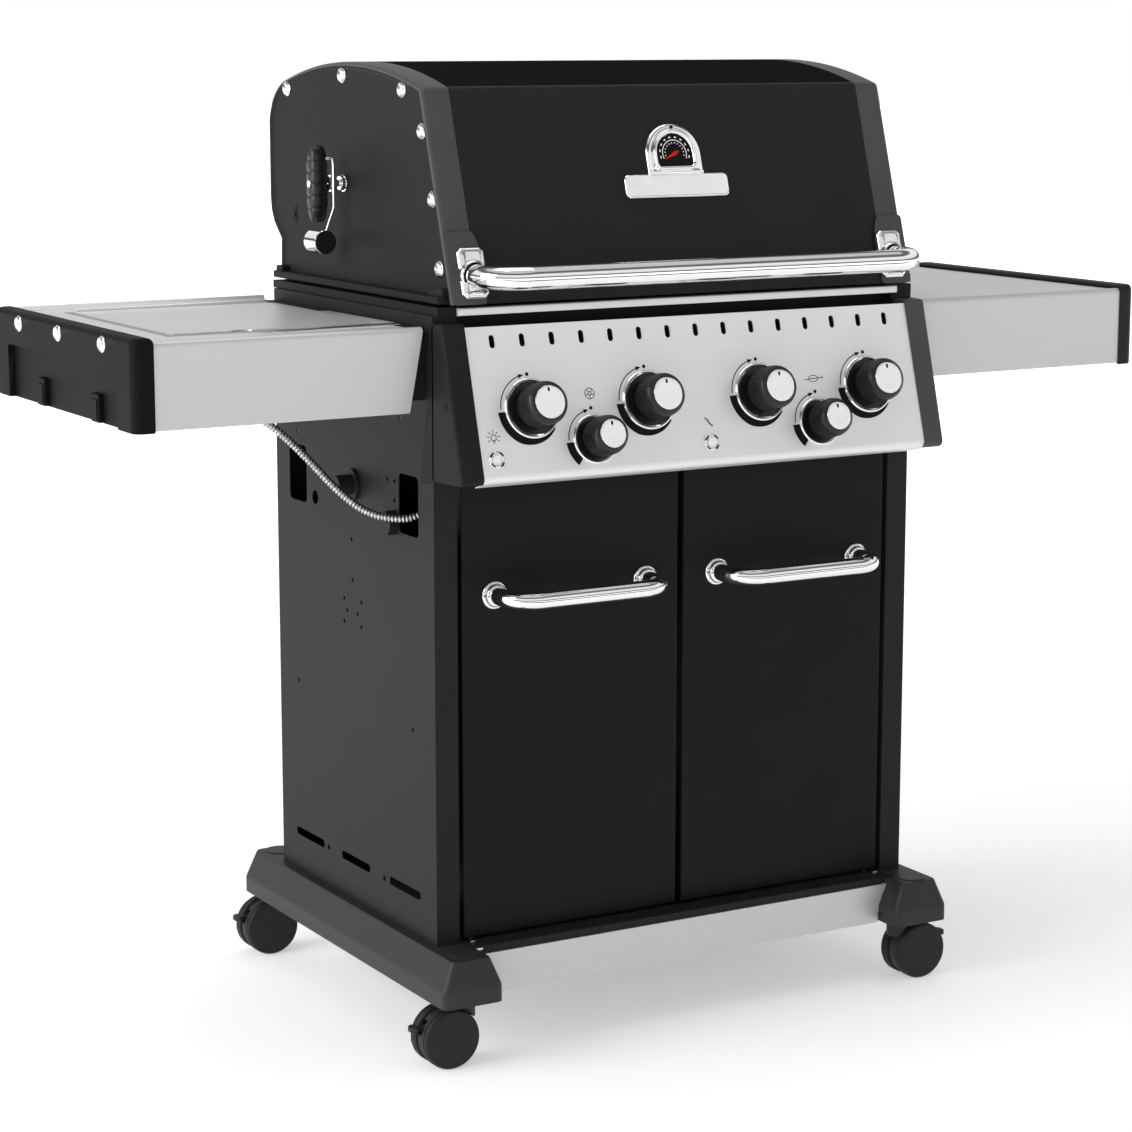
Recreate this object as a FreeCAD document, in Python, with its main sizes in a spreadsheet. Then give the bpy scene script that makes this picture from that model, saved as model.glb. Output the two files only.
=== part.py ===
"""Gas barbecue grill on a cart: four main burners, side burner, rear burner and spit.

Millimetres, +Z up, +X to the right of a user who stands in front, +Y to the back. The pieces are
drawn with y = 0 on the cabinet's front face. Each node's Placement then moves it by cab_front, so
the part's origin is on the floor, under the middle of its footprint.
"""

import FreeCAD, Part
import math
import os
import re

import Sketcher
from FreeCAD import Placement, Rotation, Vector

os.makedirs("parts", exist_ok=True)
doc = FreeCAD.newDocument("gas_grill")
sheet = doc.addObject("Spreadsheet::Sheet", "dims")

cells = []
nodes = {}
base_texts = {}

ALONG = {
    "x": Rotation(Vector(0, 1, 0), 90),
    "y": Rotation(Vector(1, 0, 0), -90),
    "z": Rotation(),
}
DRAWN_IN = {
    "xy": Rotation(),
    "yz": Rotation(Vector(1, 1, 1), 120),
    "xz": Rotation(Vector(1, 0, 0), 90),
}


# ---------------------------------------------------------------- helpers


def size(**values):
    """Adds named driving dimensions to the sheet."""
    for alias, number in values.items():
        cells.append(alias)
        row = len(cells)
        sheet.set(f"A{row}", alias)
        sheet.set(f"B{row}", str(number))
        sheet.setAlias(f"B{row}", alias)
    sheet.recompute()


def cell(text):
    """An expression in which the names of dimensions point at the sheet."""
    return re.sub(r"[A-Za-z_]\w*", lambda word: "dims." + word[0] if word[0] in cells else word[0], str(text))


def value(text):
    """The number that an expression has now."""
    return float(sheet.evalExpression(cell(text)))


def place(thing, x="0", y="0", z="0", turn=None):
    """Binds a thing's position to the sheet; turn is its rotation."""
    if turn is not None:
        thing.Placement = Placement(Vector(), turn)
    for axis, text in zip("xyz", (x, y, z)):
        thing.setExpression(f".Placement.Base.{axis}", cell(text))
    base_texts[thing.Name] = y
    return thing


def box(x, y, z):
    """A block between two limits on each axis."""
    block = doc.addObject("Part::Box", "block")
    for side, (low, high) in zip(("Length", "Width", "Height"), (x, y, z)):
        block.setExpression(side, cell(f"({high}) - ({low})"))
    return place(block, x[0], y[0], z[0])


def rod(radius, along, length, x="0", y="0", z="0"):
    """A cylinder that starts at a point and runs in an axis's positive direction."""
    cylinder = doc.addObject("Part::Cylinder", "rod")
    cylinder.setExpression("Radius", cell(radius))
    cylinder.setExpression("Height", cell(length))
    return place(cylinder, x, y, z, ALONG[along])


def cone(start_radius, end_radius, along, length, x="0", y="0", z="0"):
    """A tapered cylinder that starts at a point, as rod does."""
    taper = doc.addObject("Part::Cone", "cone")
    taper.setExpression("Radius1", cell(start_radius))
    taper.setExpression("Radius2", cell(end_radius))
    taper.setExpression("Height", cell(length))
    return place(taper, x, y, z, ALONG[along])


def fuse(*things):
    joined = doc.addObject("Part::MultiFuse", "joined")
    joined.Shapes = list(things)
    joined.Refine = True
    return joined


def cut(base, *tools):
    remainder = doc.addObject("Part::Cut", "cut")
    remainder.Base = base
    remainder.Tool = tools[0] if len(tools) == 1 else fuse(*tools)
    remainder.Refine = True
    return remainder


def common(first, second):
    shared = doc.addObject("Part::Common", "common")
    shared.Base = first
    shared.Tool = second
    return shared


def group(*things):
    """Separate solids in one node."""
    together = doc.addObject("Part::Compound", "group")
    together.Links = list(things)
    return together


def mirror(thing):
    """The same piece on the other side of the middle plane."""
    twin = doc.addObject("Part::Mirroring", "twin")
    twin.Source = thing
    twin.Normal = Vector(1, 0, 0)
    return twin


def both(thing):
    return group(thing, mirror(thing))


def end_at(sketch, edge, point):
    """Which end of a sketch edge is at a point: 1 or 2."""
    return 1 if sketch.getPoint(edge, 1).distanceToPoint(point) < 1e-6 else 2


def draw(sketch, outline):
    """A closed outline of lines, and of arcs through the points that have a third item."""
    points = [Vector(value(entry[0]), value(entry[1]), 0) for entry in outline]
    corners = [index for index, entry in enumerate(outline) if len(entry) == 2]
    edges = []
    for turn, index in enumerate(corners):
        following = corners[(turn + 1) % len(corners)]
        bulge = (index + 1) % len(outline)
        if bulge == following:
            curve = Part.LineSegment(points[index], points[following])
        else:
            curve = Part.Arc(points[index], points[bulge], points[following])
        edges.append(sketch.addGeometry(curve, False))
        if bulge != following:
            chord = points[following] - points[index]
            centre = sketch.Geometry[edges[-1]].Center
            kind, reach = ("DistanceY", centre.y) if abs(chord.x) > abs(chord.y) else ("DistanceX", centre.x)
            sketch.addConstraint(Sketcher.Constraint(kind, -1, 1, edges[-1], 3, reach))
    for turn, index in enumerate(corners):
        start = end_at(sketch, edges[turn], points[index])
        before = end_at(sketch, edges[turn - 1], points[index])
        sketch.addConstraint(Sketcher.Constraint("Coincident", edges[turn - 1], before, edges[turn], start))
        for kind, text in zip(("DistanceX", "DistanceY"), outline[index]):
            bound = Sketcher.Constraint(kind, -1, 1, edges[turn], start, value(text))
            sketch.setExpression(f"Constraints[{sketch.addConstraint(bound)}]", cell(text))


def prism(plane, outline, low, high, rounds=None, radius="0"):
    """An outline padded between two limits across its plane; rounds lists corners to round."""
    body = doc.addObject("PartDesign::Body", "body")
    sketch = body.newObject("Sketcher::SketchObject", "outline")
    floor = next(item for item in body.Origin.OriginFeatures if item.Role == "XY_Plane")
    sketch.AttachmentSupport = [(floor, "")]
    sketch.MapMode = "FlatFace"
    draw(sketch, outline)
    pad = body.newObject("PartDesign::Pad", "pad")
    pad.Profile = sketch
    pad.setExpression("Length", cell(f"({high}) - ({low})"))
    body.Tip = pad
    if rounds:
        doc.recompute()
        wanted = [Vector(value(u), value(v), 0) for u, v in rounds]
        names = [f"Edge{n}" for n, edge in enumerate(pad.Shape.Edges, 1) if stands_on(edge, wanted)]
        fillet = body.newObject("PartDesign::Fillet", "rounding")
        fillet.Base = (pad, names)
        fillet.setExpression("Radius", cell(radius))
        body.Tip = fillet
    base = {"xy": ("0", "0", low), "yz": (low, "0", "0"), "xz": ("0", high, "0")}[plane]
    return place(body, *base, turn=DRAWN_IN[plane])


def stands_on(edge, corners):
    """Whether an edge runs across the outline's plane at one of the corners."""
    flats = [Vector(vertex.X, vertex.Y, 0) for vertex in edge.Vertexes]
    return len(flats) == 2 and any(all(flat.distanceToPoint(c) < 1e-4 for flat in flats) for c in corners)


def round_edges(thing, radius, wanted):
    """Fillets the edges whose centre passes a test."""
    doc.recompute()
    fillet = doc.addObject("Part::Fillet", "rounding")
    fillet.Base = thing
    blend = value(radius)
    chosen = [n for n, edge in enumerate(thing.Shape.Edges, 1) if wanted(edge.BoundBox)]
    fillet.Edges = [(n, blend, blend) for n in chosen]
    return fillet


def arc_path(points, radii):
    """A wire of straight runs joined by tangent arcs."""
    legs = []
    here = points[0]
    for corner, after, radius in zip(points[1:-1], points[2:], radii):
        toward = (corner - here).normalize()
        away = (after - corner).normalize()
        half_turn = toward.getAngle(away) / 2
        reach = radius * math.tan(half_turn)
        begin = corner - toward * reach
        finish = corner + away * reach
        inward = (away - toward).normalize()
        middle = corner + inward * (radius / math.cos(half_turn) - radius)
        legs.append(Part.LineSegment(here, begin).toShape())
        legs.append(Part.Arc(begin, middle, finish).toShape())
        here = finish
    legs.append(Part.LineSegment(here, points[-1]).toShape())
    return Part.Wire(legs)


def tube(radius, points, bends):
    """A round bar swept along straight runs and tangent bends."""
    path = [Vector(value(x), value(y), value(z)) for x, y, z in points]
    spine = doc.addObject("Part::Feature", "spine")
    spine.Shape = arc_path(path, bends)
    section = doc.addObject("Part::Circle", "section")
    section.setExpression("Radius", cell(radius))
    place(section, *points[0], turn=Rotation(Vector(0, 0, 1), path[1] - path[0]))
    sweep = doc.addObject("Part::Sweep", "bar")
    sweep.Sections = [section]
    sweep.Spine = (spine, [f"Edge{n + 1}" for n in range(len(spine.Shape.Edges))])
    sweep.Solid = True
    return sweep


def node(name, thing):
    """Names a finished sub-part and moves it from the cabinet's front face to the part's origin."""
    thing.Label = name
    thing.setExpression(".Placement.Base.y", cell(f"cab_front + {base_texts.get(thing.Name, '0')}"))
    nodes[name] = thing
    return thing


# ---------------------------------------------------------------- driving dimensions

size(
    overall_width=1450,
    cab_half=348.3,
    cab_front=-203.84,
    cab_depth=448,
    cab_low=141,
    cab_top=913.5,
    sheet_metal=1.5,
    gap=0.3,
)


# ---------------------------------------------------------------- base

size(
    beam_inner=294,
    beam_outer=376,
    beam_top_inner=308.5,
    beam_top_outer=361,
    beam_low=84,
    beam_crease=105,
    beam_front=-72,
    beam_rear=520,
    beam_rake=6,
    beam_wall=3,
    cap_inset=28,
    cap_radius=20,
    cap_height=1.2,
    cap_offset=335,
    stem_offset=328,
    stem_front=-28,
    stem_rear=498,
    stem_radius=5.5,
    stem_play=0.05,
    stem_top=128,
    socket_radius=12,
)


def base_beam():
    """A pressed rail with sloping sides, open below, with a socket for each caster's stem."""
    section = [
        ("beam_inner", "beam_low"),
        ("beam_inner", "beam_crease"),
        ("beam_top_inner", "cab_low"),
        ("beam_top_outer", "cab_low"),
        ("beam_outer", "beam_crease"),
        ("beam_outer", "beam_low"),
    ]
    side = [
        ("beam_front", "beam_low"),
        ("beam_rear", "beam_low"),
        ("beam_rear", "beam_crease"),
        ("beam_rear - beam_rake", "cab_low"),
        ("beam_front + beam_rake", "cab_low"),
        ("beam_front", "beam_crease"),
    ]
    hollow = [
        ("beam_inner + beam_wall", "beam_low - 1"),
        ("beam_inner + beam_wall", "beam_crease"),
        ("beam_top_inner + beam_wall", "cab_low - beam_wall"),
        ("beam_top_outer - beam_wall", "cab_low - beam_wall"),
        ("beam_outer - beam_wall", "beam_crease"),
        ("beam_outer - beam_wall", "beam_low - 1"),
    ]
    outside = common(
        prism("xz", section, "beam_front - 5", "beam_rear + 5"),
        prism("yz", side, "beam_inner - 5", "beam_outer + 5"),
    )
    inside = prism("xz", hollow, "beam_front + beam_rake + beam_wall", "beam_rear - beam_rake - beam_wall")
    pieces = [cut(outside, inside)]
    bores = []
    for y in ("stem_front", "stem_rear"):
        pieces.append(rod("socket_radius", "z", "cab_low - beam_wall - beam_low", "stem_offset", y, "beam_low"))
        bores.append(rod("stem_radius + stem_play", "z", "stem_top - beam_low + 1", "stem_offset", y, "beam_low - 1"))
    for y in ("beam_front + cap_inset", "beam_rear - cap_inset"):
        pieces.append(rod("cap_radius", "z", "cap_height", "cap_offset", y, "cab_low"))
    return cut(fuse(*pieces), *bores)


node("base_beams", both(base_beam()))

size(kick_top=133, kick_crease=91, kick_low=81, kick_face=-31, kick_flange=16, kick_sheet=1.2, kick_gap=0.2)


def kick_plate():
    """A bent sheet between the beams, its ends cut to their slope."""
    bend = [
        ("kick_face - 1", "kick_top"),
        ("kick_face + kick_flange", "kick_top"),
        ("kick_face + kick_flange", "kick_top - kick_sheet"),
        ("kick_face - 1 + kick_sheet", "kick_top - kick_sheet"),
        ("kick_face + kick_sheet", "kick_crease"),
        ("kick_face + 2 + kick_sheet", "kick_low"),
        ("kick_face + 2", "kick_low"),
        ("kick_face", "kick_crease"),
    ]
    slope = "(beam_top_inner - beam_inner) / (cab_low - beam_crease)"
    top_end = f"beam_inner - kick_gap + (kick_top - beam_crease) * {slope}"
    front = [
        ("-beam_inner + kick_gap", "kick_low"),
        ("-beam_inner + kick_gap", "beam_crease"),
        (f"-({top_end})", "kick_top"),
        (top_end, "kick_top"),
        ("beam_inner - kick_gap", "beam_crease"),
        ("beam_inner - kick_gap", "kick_low"),
    ]
    return common(
        prism("yz", bend, "-beam_top_inner", "beam_top_inner"),
        prism("xz", front, "kick_face - 5", "kick_face + 30"),
    )


node("kick_plate", kick_plate())


# ---------------------------------------------------------------- casters

size(
    wheel_radius=37.5,
    wheel_centre=353,
    caster_half=22,
    hood_half=5.5,
    wheel_side_gap=0.6,
    hood_radius=35,
    hub_radius=12,
    axle_radius=4,
    axle_play=0.05,
    hood_top=80,
    crown_radius=15,
    pedal_half=4.5,
    pedal_length=30,
    pedal_pivot_up=15,
    pedal_pivot_out=14,
    slot_half=5,
)


def caster(side, end):
    """Stem, hood, axle, two wheels and a brake pedal; side is -1 on the left and 1 on the right."""
    middle = "stem_front" if end == "front" else "stem_rear"
    axle_x = f"{side} * wheel_centre"
    stem_x = f"{side} * stem_offset"
    hood_low, hood_high = f"{middle} - hood_half", f"{middle} + hood_half"
    hood = fuse(
        rod("hood_radius", "y", "2 * hood_half", axle_x, hood_low, "wheel_radius"),
        rod("crown_radius", "z", "hood_top - wheel_radius - 22", stem_x, middle, "wheel_radius + 22"),
        rod("axle_radius", "y", "2 * caster_half - 6", axle_x, f"{middle} - caster_half + 3", "wheel_radius"),
        rod("stem_radius", "z", "stem_top - hood_top", stem_x, middle, "hood_top"),
    )
    clear = "(hood_half + wheel_side_gap)"
    for_wheels = [
        rod("wheel_radius + 2", "y", "caster_half", axle_x, f"{middle} + {clear}", "wheel_radius"),
        rod("wheel_radius + 2", "y", "caster_half", axle_x, f"{middle} - {clear} - caster_half", "wheel_radius"),
    ]
    axle = rod("axle_radius", "y", "2 * caster_half - 6", axle_x, f"{middle} - caster_half + 3", "wheel_radius")
    pedal_x = f"{side} * (wheel_centre + pedal_pivot_out)"
    pedal_z = "wheel_radius + pedal_pivot_up"
    x_limits = sorted([f"{side} * (wheel_centre + 4)", f"{side} * (wheel_centre + 50)"], key=value)
    pedal_slot = box(x_limits, (f"{middle} - pedal_half - 0.5", f"{middle} + pedal_half + 0.5"),
                     (f"{pedal_z} - 9", f"{pedal_z} + 9"))
    pin = rod("2", "y", "2 * hood_half", pedal_x, hood_low, pedal_z)
    swivel = fuse(cut(hood, fuse(*for_wheels), pedal_slot), axle, pin)

    halves = []
    for low, high in ((f"{middle} - caster_half", f"{middle} - {clear}"),
                      (f"{middle} + {clear}", f"{middle} + caster_half")):
        disc = rod("wheel_radius", "y", f"({high}) - ({low})", axle_x, low, "wheel_radius")
        halves.append(cut(disc, rod("axle_radius + axle_play", "y", "3 * caster_half", axle_x,
                                    f"{middle} - 1.5 * caster_half", "wheel_radius")))
    rounded = [
        round_edges(half, "3", lambda limits: limits.XLength > 60 and limits.YLength < 1) for half in halves
    ]

    reach = sorted([pedal_x, f"{side} * (wheel_centre + pedal_pivot_out + pedal_length)"], key=value)
    lever = fuse(
        rod("5", "y", "2 * pedal_half", pedal_x, f"{middle} - pedal_half", pedal_z),
        box(reach, (f"{middle} - pedal_half", f"{middle} + pedal_half"), (f"{pedal_z} - 2.5", f"{pedal_z} + 2.5")),
        box((f"{side} * (wheel_centre + pedal_pivot_out + pedal_length) - 5",
             f"{side} * (wheel_centre + pedal_pivot_out + pedal_length) + 5"),
            (f"{middle} - pedal_half - 5", f"{middle} + pedal_half + 5"), (f"{pedal_z} - 2.5", f"{pedal_z} + 3.5")),
    )
    pin_hole = rod("2.05", "y", "30", pedal_x, f"{middle} - 15", pedal_z)
    return swivel, group(*rounded), cut(lever, pin_hole)


for end in ("front", "rear"):
    for word, side in (("left", -1), ("right", 1)):
        swivel, wheels, pedal = caster(side, end)
        node(f"caster_swivel_{end}_{word}", swivel)
        node(f"caster_wheels_{end}_{word}", wheels)
        node(f"caster_brake_{end}_{word}", pedal)


# ---------------------------------------------------------------- cabinet

size(
    post_inner=317,
    post_return=13.5,
    rear_flange=325,
    window_low=642,
    window_high=716,
    window_depth=52,
    front_window=40,
    rear_window=356,
    vent_low=188,
    vent_high=199,
    floor_rise=1.5,
    floor_front=-30,
    ring_outer=152,
    ring_wall=4,
    ring_height=8,
    ring_back=235,
    back_top=725,
)

SCREW_HOLES = (
    (5, ((379, 734), (86, 785))),
    (4, ((18, 768),)),
    (9, ((331, 653),)),
    (3.5, ((305, 193), (143, 192))),
    (2.7, ((123, 704), (103, 704), (104, 680), (225, 614), (224, 562), (249, 535), (199, 537), (240, 520),
         (211, 520), (249, 505), (200, 505), (390, 401), (60, 401))),
)


def round_cornered(through, y_low, y_high, z_low, z_high, radius):
    """A cutter with rounded corners that goes through a sheet in x."""
    low_y, high_y = f"{y_low} + {radius}", f"{y_high} - {radius}"
    low_z, high_z = f"{z_low} + {radius}", f"{z_high} - {radius}"
    corners = [rod(radius, "x", 10, through[0], y, z) for y in (low_y, high_y) for z in (low_z, high_z)]
    tall = box(through, (low_y, high_y), (z_low, z_high))
    return fuse(tall, box(through, (y_low, y_high), (low_z, high_z)), *corners)


def side_panel():
    """A folded sheet: side, front post with its return, rear flange; with windows, vents and holes."""
    inner = "cab_half - sheet_metal"
    folded = fuse(
        box((inner, "cab_half"), ("0", "cab_depth"), ("cab_low", "cab_top")),
        box(("post_inner", "cab_half"), ("0", "sheet_metal"), ("cab_low", "cab_top")),
        box(("post_inner", "post_inner + sheet_metal"), ("0", "post_return"), ("cab_low", "cab_top")),
        box(("rear_flange", "cab_half"), ("cab_depth - sheet_metal", "cab_depth"), ("cab_low", "cab_top")),
    )
    through = ("cab_half - 5", "cab_half + 5")
    tools = [
        round_cornered(through, y, f"{y} + window_depth", "window_low", "window_high", 7)
        for y in ("front_window", "rear_window")
    ]
    tools += [
        fuse(
            box(through, (front + 5.5, back - 5.5), ("vent_low", "vent_high")),
            rod(5.5, "x", 10, "cab_half - 5", front + 5.5, "vent_low + 5.5"),
            rod(5.5, "x", 10, "cab_half - 5", back - 5.5, "vent_low + 5.5"),
        )
        for front, back in ((43, 128), (183, 266), (318, 404))
    ]
    for radius, places in SCREW_HOLES:
        tools += [rod(radius, "x", 10, "cab_half - 5", y, z) for y, z in places]
    return cut(folded, group(*tools))


node("side_panels", both(side_panel()))


def cabinet_floor():
    """Bottom sheet with a front lip and the ring that keeps the gas bottle in place."""
    top = "cab_low + floor_rise"
    ring = cut(
        rod("ring_outer", "z", "ring_height", "0", "ring_back", top),
        rod("ring_outer - ring_wall", "z", "3 * ring_height", "0", "ring_back", "cab_low - ring_height"),
    )
    half = "(cab_half - sheet_metal - gap)"
    bearings = [rod("hinge_pin + 0.05", "z", "10", x, "hinge_y", "cab_low - 5") for x in ("-hinge_x", "hinge_x")]
    plate = fuse(
        box(("-post_inner + gap", "post_inner - gap"), ("floor_front", "post_return + gap"), ("cab_low", top)),
        box((f"-{half}", half), ("post_return + gap", "cab_depth - 2 * sheet_metal"), ("cab_low", top)),
        box(("-300", "300"), ("floor_front", "floor_front + sheet_metal"), ("kick_top + gap", "cab_low")),
        ring,
    )
    return cut(plate, *bearings)


size(hinge_x=297, hinge_y=9, hinge_pin=3.5)
node("cabinet_floor", cabinet_floor())


def back_panel():
    """Rear sheet inside the side panels' flanges, with rows of louvre slots."""
    half = "(cab_half - sheet_metal)"
    plate = box((f"-{half}", half), ("cab_depth - 2 * sheet_metal", "cab_depth - sheet_metal"),
                ("cab_low + floor_rise", "back_top"))
    slots = [
        box((x - 45, x + 45), ("cab_depth - 10", "cab_depth + 10"), (z, z + 8))
        for x in (-180, 0, 180)
        for z in (230, 255, 280, 330, 355, 380)
    ]
    return cut(plate, group(*slots))


node("back_panel", back_panel())

size(
    bracket_out=372,
    bracket_front=22,
    bracket_back=430,
    bracket_low=812,
    bracket_high=899.9,
    boss_radius=20,
    boss_body=13,
    boss_reach=26,
    peg_radius=15,
    peg_reach=12,
    rail_half=152,
    rail_low=731,
    box_low=775,
    tray_front=110,
)


def cabinet_fittings():
    """Shelf brackets, side bosses, door catches and the rails that carry the grease tray."""
    bracket = box(("cab_half", "bracket_out"), ("bracket_front", "bracket_back"), ("bracket_low", "bracket_high"))
    boss = fuse(
        rod("boss_radius", "x", "5", "cab_half", "217", "685"),
        rod("boss_body", "x", "boss_reach", "cab_half", "217", "685"),
    )
    peg = rod("peg_radius", "x", "peg_reach", "cab_half", "108", "652")
    catch = box(("-24", "24"), ("20", "36"), ("cab_low + floor_rise", "cab_low + floor_rise + 18"))
    rail = fuse(
        box(("rail_half", "rail_half + 1.5"), ("tray_front", "440"), ("rail_low", "box_low")),
        box(("rail_half - 14", "rail_half"), ("tray_front", "440"), ("rail_low", "rail_low + 1.5")),
    )
    pieces = [bracket, boss, peg, rail]
    return group(catch, *pieces, *(mirror(piece) for piece in pieces))


node("cabinet_fittings", cabinet_fittings())


# ---------------------------------------------------------------- doors

size(
    door_inner=4,
    door_outer=310.5,
    door_low=145,
    door_high=712,
    door_depth=18,
    pull_radius=11,
    pull_out=60,
    pull_height=572,
    pull_inner=53,
    pull_outer=267,
    pull_bend=36,
    rosette_radius=17.5,
    rosette_depth=9,
)


def door(side):
    """A pressed pan with its lower hinge pin."""
    outer = sorted([f"{side} * door_inner", f"{side} * door_outer"], key=value)
    inner = (f"({outer[0]}) + sheet_metal", f"({outer[1]}) - sheet_metal")
    pan = cut(
        box(outer, ("0", "door_depth"), ("door_low", "door_high")),
        box(inner, ("sheet_metal", "door_depth + 1"), ("door_low + sheet_metal", "door_high - sheet_metal")),
    )
    pin = rod("hinge_pin", "z", "door_low + sheet_metal - cab_low", f"{side} * hinge_x", "hinge_y", "cab_low")
    return fuse(pan, pin)


def door_pull(side):
    """A bent tube that ends in two rosettes."""
    front = "-rosette_depth"
    ends = [f"{side} * pull_inner", f"{side} * pull_outer"]
    points = [
        (ends[0], front, "pull_height"),
        (ends[0], "-pull_out", "pull_height"),
        (ends[1], "-pull_out", "pull_height"),
        (ends[1], front, "pull_height"),
    ]
    bar = tube("pull_radius", points, [value("pull_bend")] * 2)
    rosettes = [rod("rosette_radius", "y", "rosette_depth", x, front, "pull_height") for x in ends]
    rounded = [
        round_edges(rosette, "3", lambda limits: limits.YMax < -8 and limits.XLength > 20) for rosette in rosettes
    ]
    return group(bar, *rounded)


for word, side in (("left", -1), ("right", 1)):
    node(f"door_{word}", door(side))
    node(f"door_handle_{word}", door_pull(side))


# ---------------------------------------------------------------- cookbox and burners

size(
    box_half=330,
    box_front=14,
    box_back=440,
    box_wall=4,
    rim_half=344,
    rim_front=-6,
    rim_back=459,
    rim_top=923.5,
    burner_x1=81.2,
    burner_x2=244,
    burner_radius=11,
    burner_height=795,
    flame_ledge=826,
    grid_ledge=893,
    ledge_depth=8,
    lug_inner=270,
    lug_outer=290,
    lid_hinge_y=466,
    lid_hinge_z=930,
    lid_pin=4,
    lid_pin_play=0.06,
)

BURNER_PLACES = ("-burner_x2", "-burner_x1", "burner_x1", "burner_x2")


def cookbox():
    """Cast box with a rim, two pairs of ledges, burner holes, a grease opening and the lid's lugs."""
    inside = (("-box_half + box_wall", "box_half - box_wall"), ("box_front + box_wall", "box_back - box_wall"))
    shell = cut(
        fuse(
            box(("-box_half", "box_half"), ("box_front", "box_back"), ("box_low", "cab_top")),
            box(("-rim_half", "rim_half"), ("rim_front", "rim_back"), ("cab_top", "rim_top")),
        ),
        box(*inside, ("box_low + box_wall", "rim_top + 5")),
    )
    ledges = []
    for top in ("flame_ledge", "grid_ledge"):
        limits = (f"{top} - 6", top)
        ledges.append(box(inside[0], ("box_front + box_wall", "box_front + box_wall + ledge_depth"), limits))
        ledges.append(box(inside[0], ("box_back - box_wall - ledge_depth", "box_back - box_wall"), limits))
    ears = [box(("box_half", "cab_half - sheet_metal"), (y, y + 40), ("cab_top - 10", "cab_top")) for y in (60, 340)]
    lug = fuse(
        box(("lug_inner", "lug_outer"), ("rim_back", "lid_hinge_y + 8"), ("cab_top", "lid_hinge_z")),
        rod("8", "x", "lug_outer - lug_inner", "lug_inner", "lid_hinge_y", "lid_hinge_z"),
    )
    cast = fuse(shell, *ledges, lug, mirror(lug), *ears, *(mirror(ear) for ear in ears))
    tools = [box((-60, 60), (180, 280), ("box_low - 5", "box_low + box_wall + 5"))]
    tools += [rod("burner_radius + 0.5", "y", "20", x, "box_front - 8", "burner_height") for x in BURNER_PLACES]
    tools.append(rod("lid_pin + lid_pin_play", "x", "700", "-350", "lid_hinge_y", "lid_hinge_z"))
    return cut(cast, group(*tools))


node("cookbox", cookbox())

size(trim_half=319, trim_front=-10)
node("cookbox_trim", box(("-trim_half", "trim_half"), ("trim_front", "rim_front"), ("cab_top - 0.5", "rim_top - 1")))


def burner(x):
    """A tube closed at the back, with a mixing bell at the front and a row of ports on top."""
    pipe = fuse(
        rod("burner_radius", "y", "415", x, "10", "burner_height"),
        cone("burner_radius + 4", "burner_radius", "y", "10", x, "0.5", "burner_height"),
    )
    bore = rod("burner_radius - 1.5", "y", "410", x, "0", "burner_height")
    ports = [box((f"{x} - 4", f"{x} + 4"), (y, y + 3), ("burner_height + 8", "burner_height + 14"))
             for y in range(50, 410, 18)]
    return cut(pipe, group(bore, *ports))


node("main_burners", group(*(burner(x) for x in BURNER_PLACES)))


def flame_tamer(x):
    """A folded roof of stainless sheet above a burner."""
    roof = [
        (f"{x} - 58", "flame_ledge"),
        (f"{x} - 6", "flame_ledge + 30"),
        (f"{x} + 6", "flame_ledge + 30"),
        (f"{x} + 58", "flame_ledge"),
        (f"{x} + 56", "flame_ledge"),
        (f"{x} + 5.4", "flame_ledge + 28.6"),
        (f"{x} - 5.4", "flame_ledge + 28.6"),
        (f"{x} - 56", "flame_ledge"),
    ]
    return prism("xz", roof, "box_front + box_wall + 2", "box_back - box_wall - 2")


node("flame_tamers", group(*(flame_tamer(x) for x in BURNER_PLACES)))

size(grid_half=79, grid_front=20, grid_back=433, grid_thick=11, grid_bar=6)


def cooking_grid(x):
    """A cast grid: a frame, long bars and one cross rib."""
    limits = ("grid_ledge", "grid_ledge + grid_thick")
    frame = cut(
        box((f"{x} - grid_half", f"{x} + grid_half"), ("grid_front", "grid_back"), limits),
        box((f"{x} - grid_half + grid_bar", f"{x} + grid_half - grid_bar"),
            ("grid_front + grid_bar", "grid_back - grid_bar"), ("grid_ledge - 1", "grid_ledge + grid_thick + 1")),
    )
    bars = [
        box((f"{x} + {offset} - grid_bar / 2", f"{x} + {offset} + grid_bar / 2"), ("grid_front", "grid_back"), limits)
        for offset in range(-60, 61, 20)
    ]
    rib = box((f"{x} - grid_half", f"{x} + grid_half"), ("220", "232"), ("grid_ledge", "grid_ledge + 7"))
    return fuse(frame, rib, *bars)


node("cooking_grids", group(*(cooking_grid(x) for x in ("-244", "-81.3", "81.3", "244"))))


def rear_burner():
    """The spit's burner: a box with a front screen on a back plate that stands in the cookbox."""
    housing = fuse(
        box(("-230", "230"), ("412", "434.5"), ("936", "1000")),
        box(("-200", "200"), ("434.5", "436"), ("grid_ledge + 2", "1000")),
    )
    inside = box(("-228.5", "228.5"), ("413.5", "433"), ("937.5", "998.5"))
    screen = [box((x, x + 36), ("411", "415"), (z, z + 12)) for x in range(-218, 200, 44) for z in (943, 962, 981)]
    return cut(housing, inside, group(*screen))


node("rear_burner", rear_burner())

size(tray_half=149, tray_back=470, tray_low=733, tray_top=757, tray_wall=1.5, cup_half=45)


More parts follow.
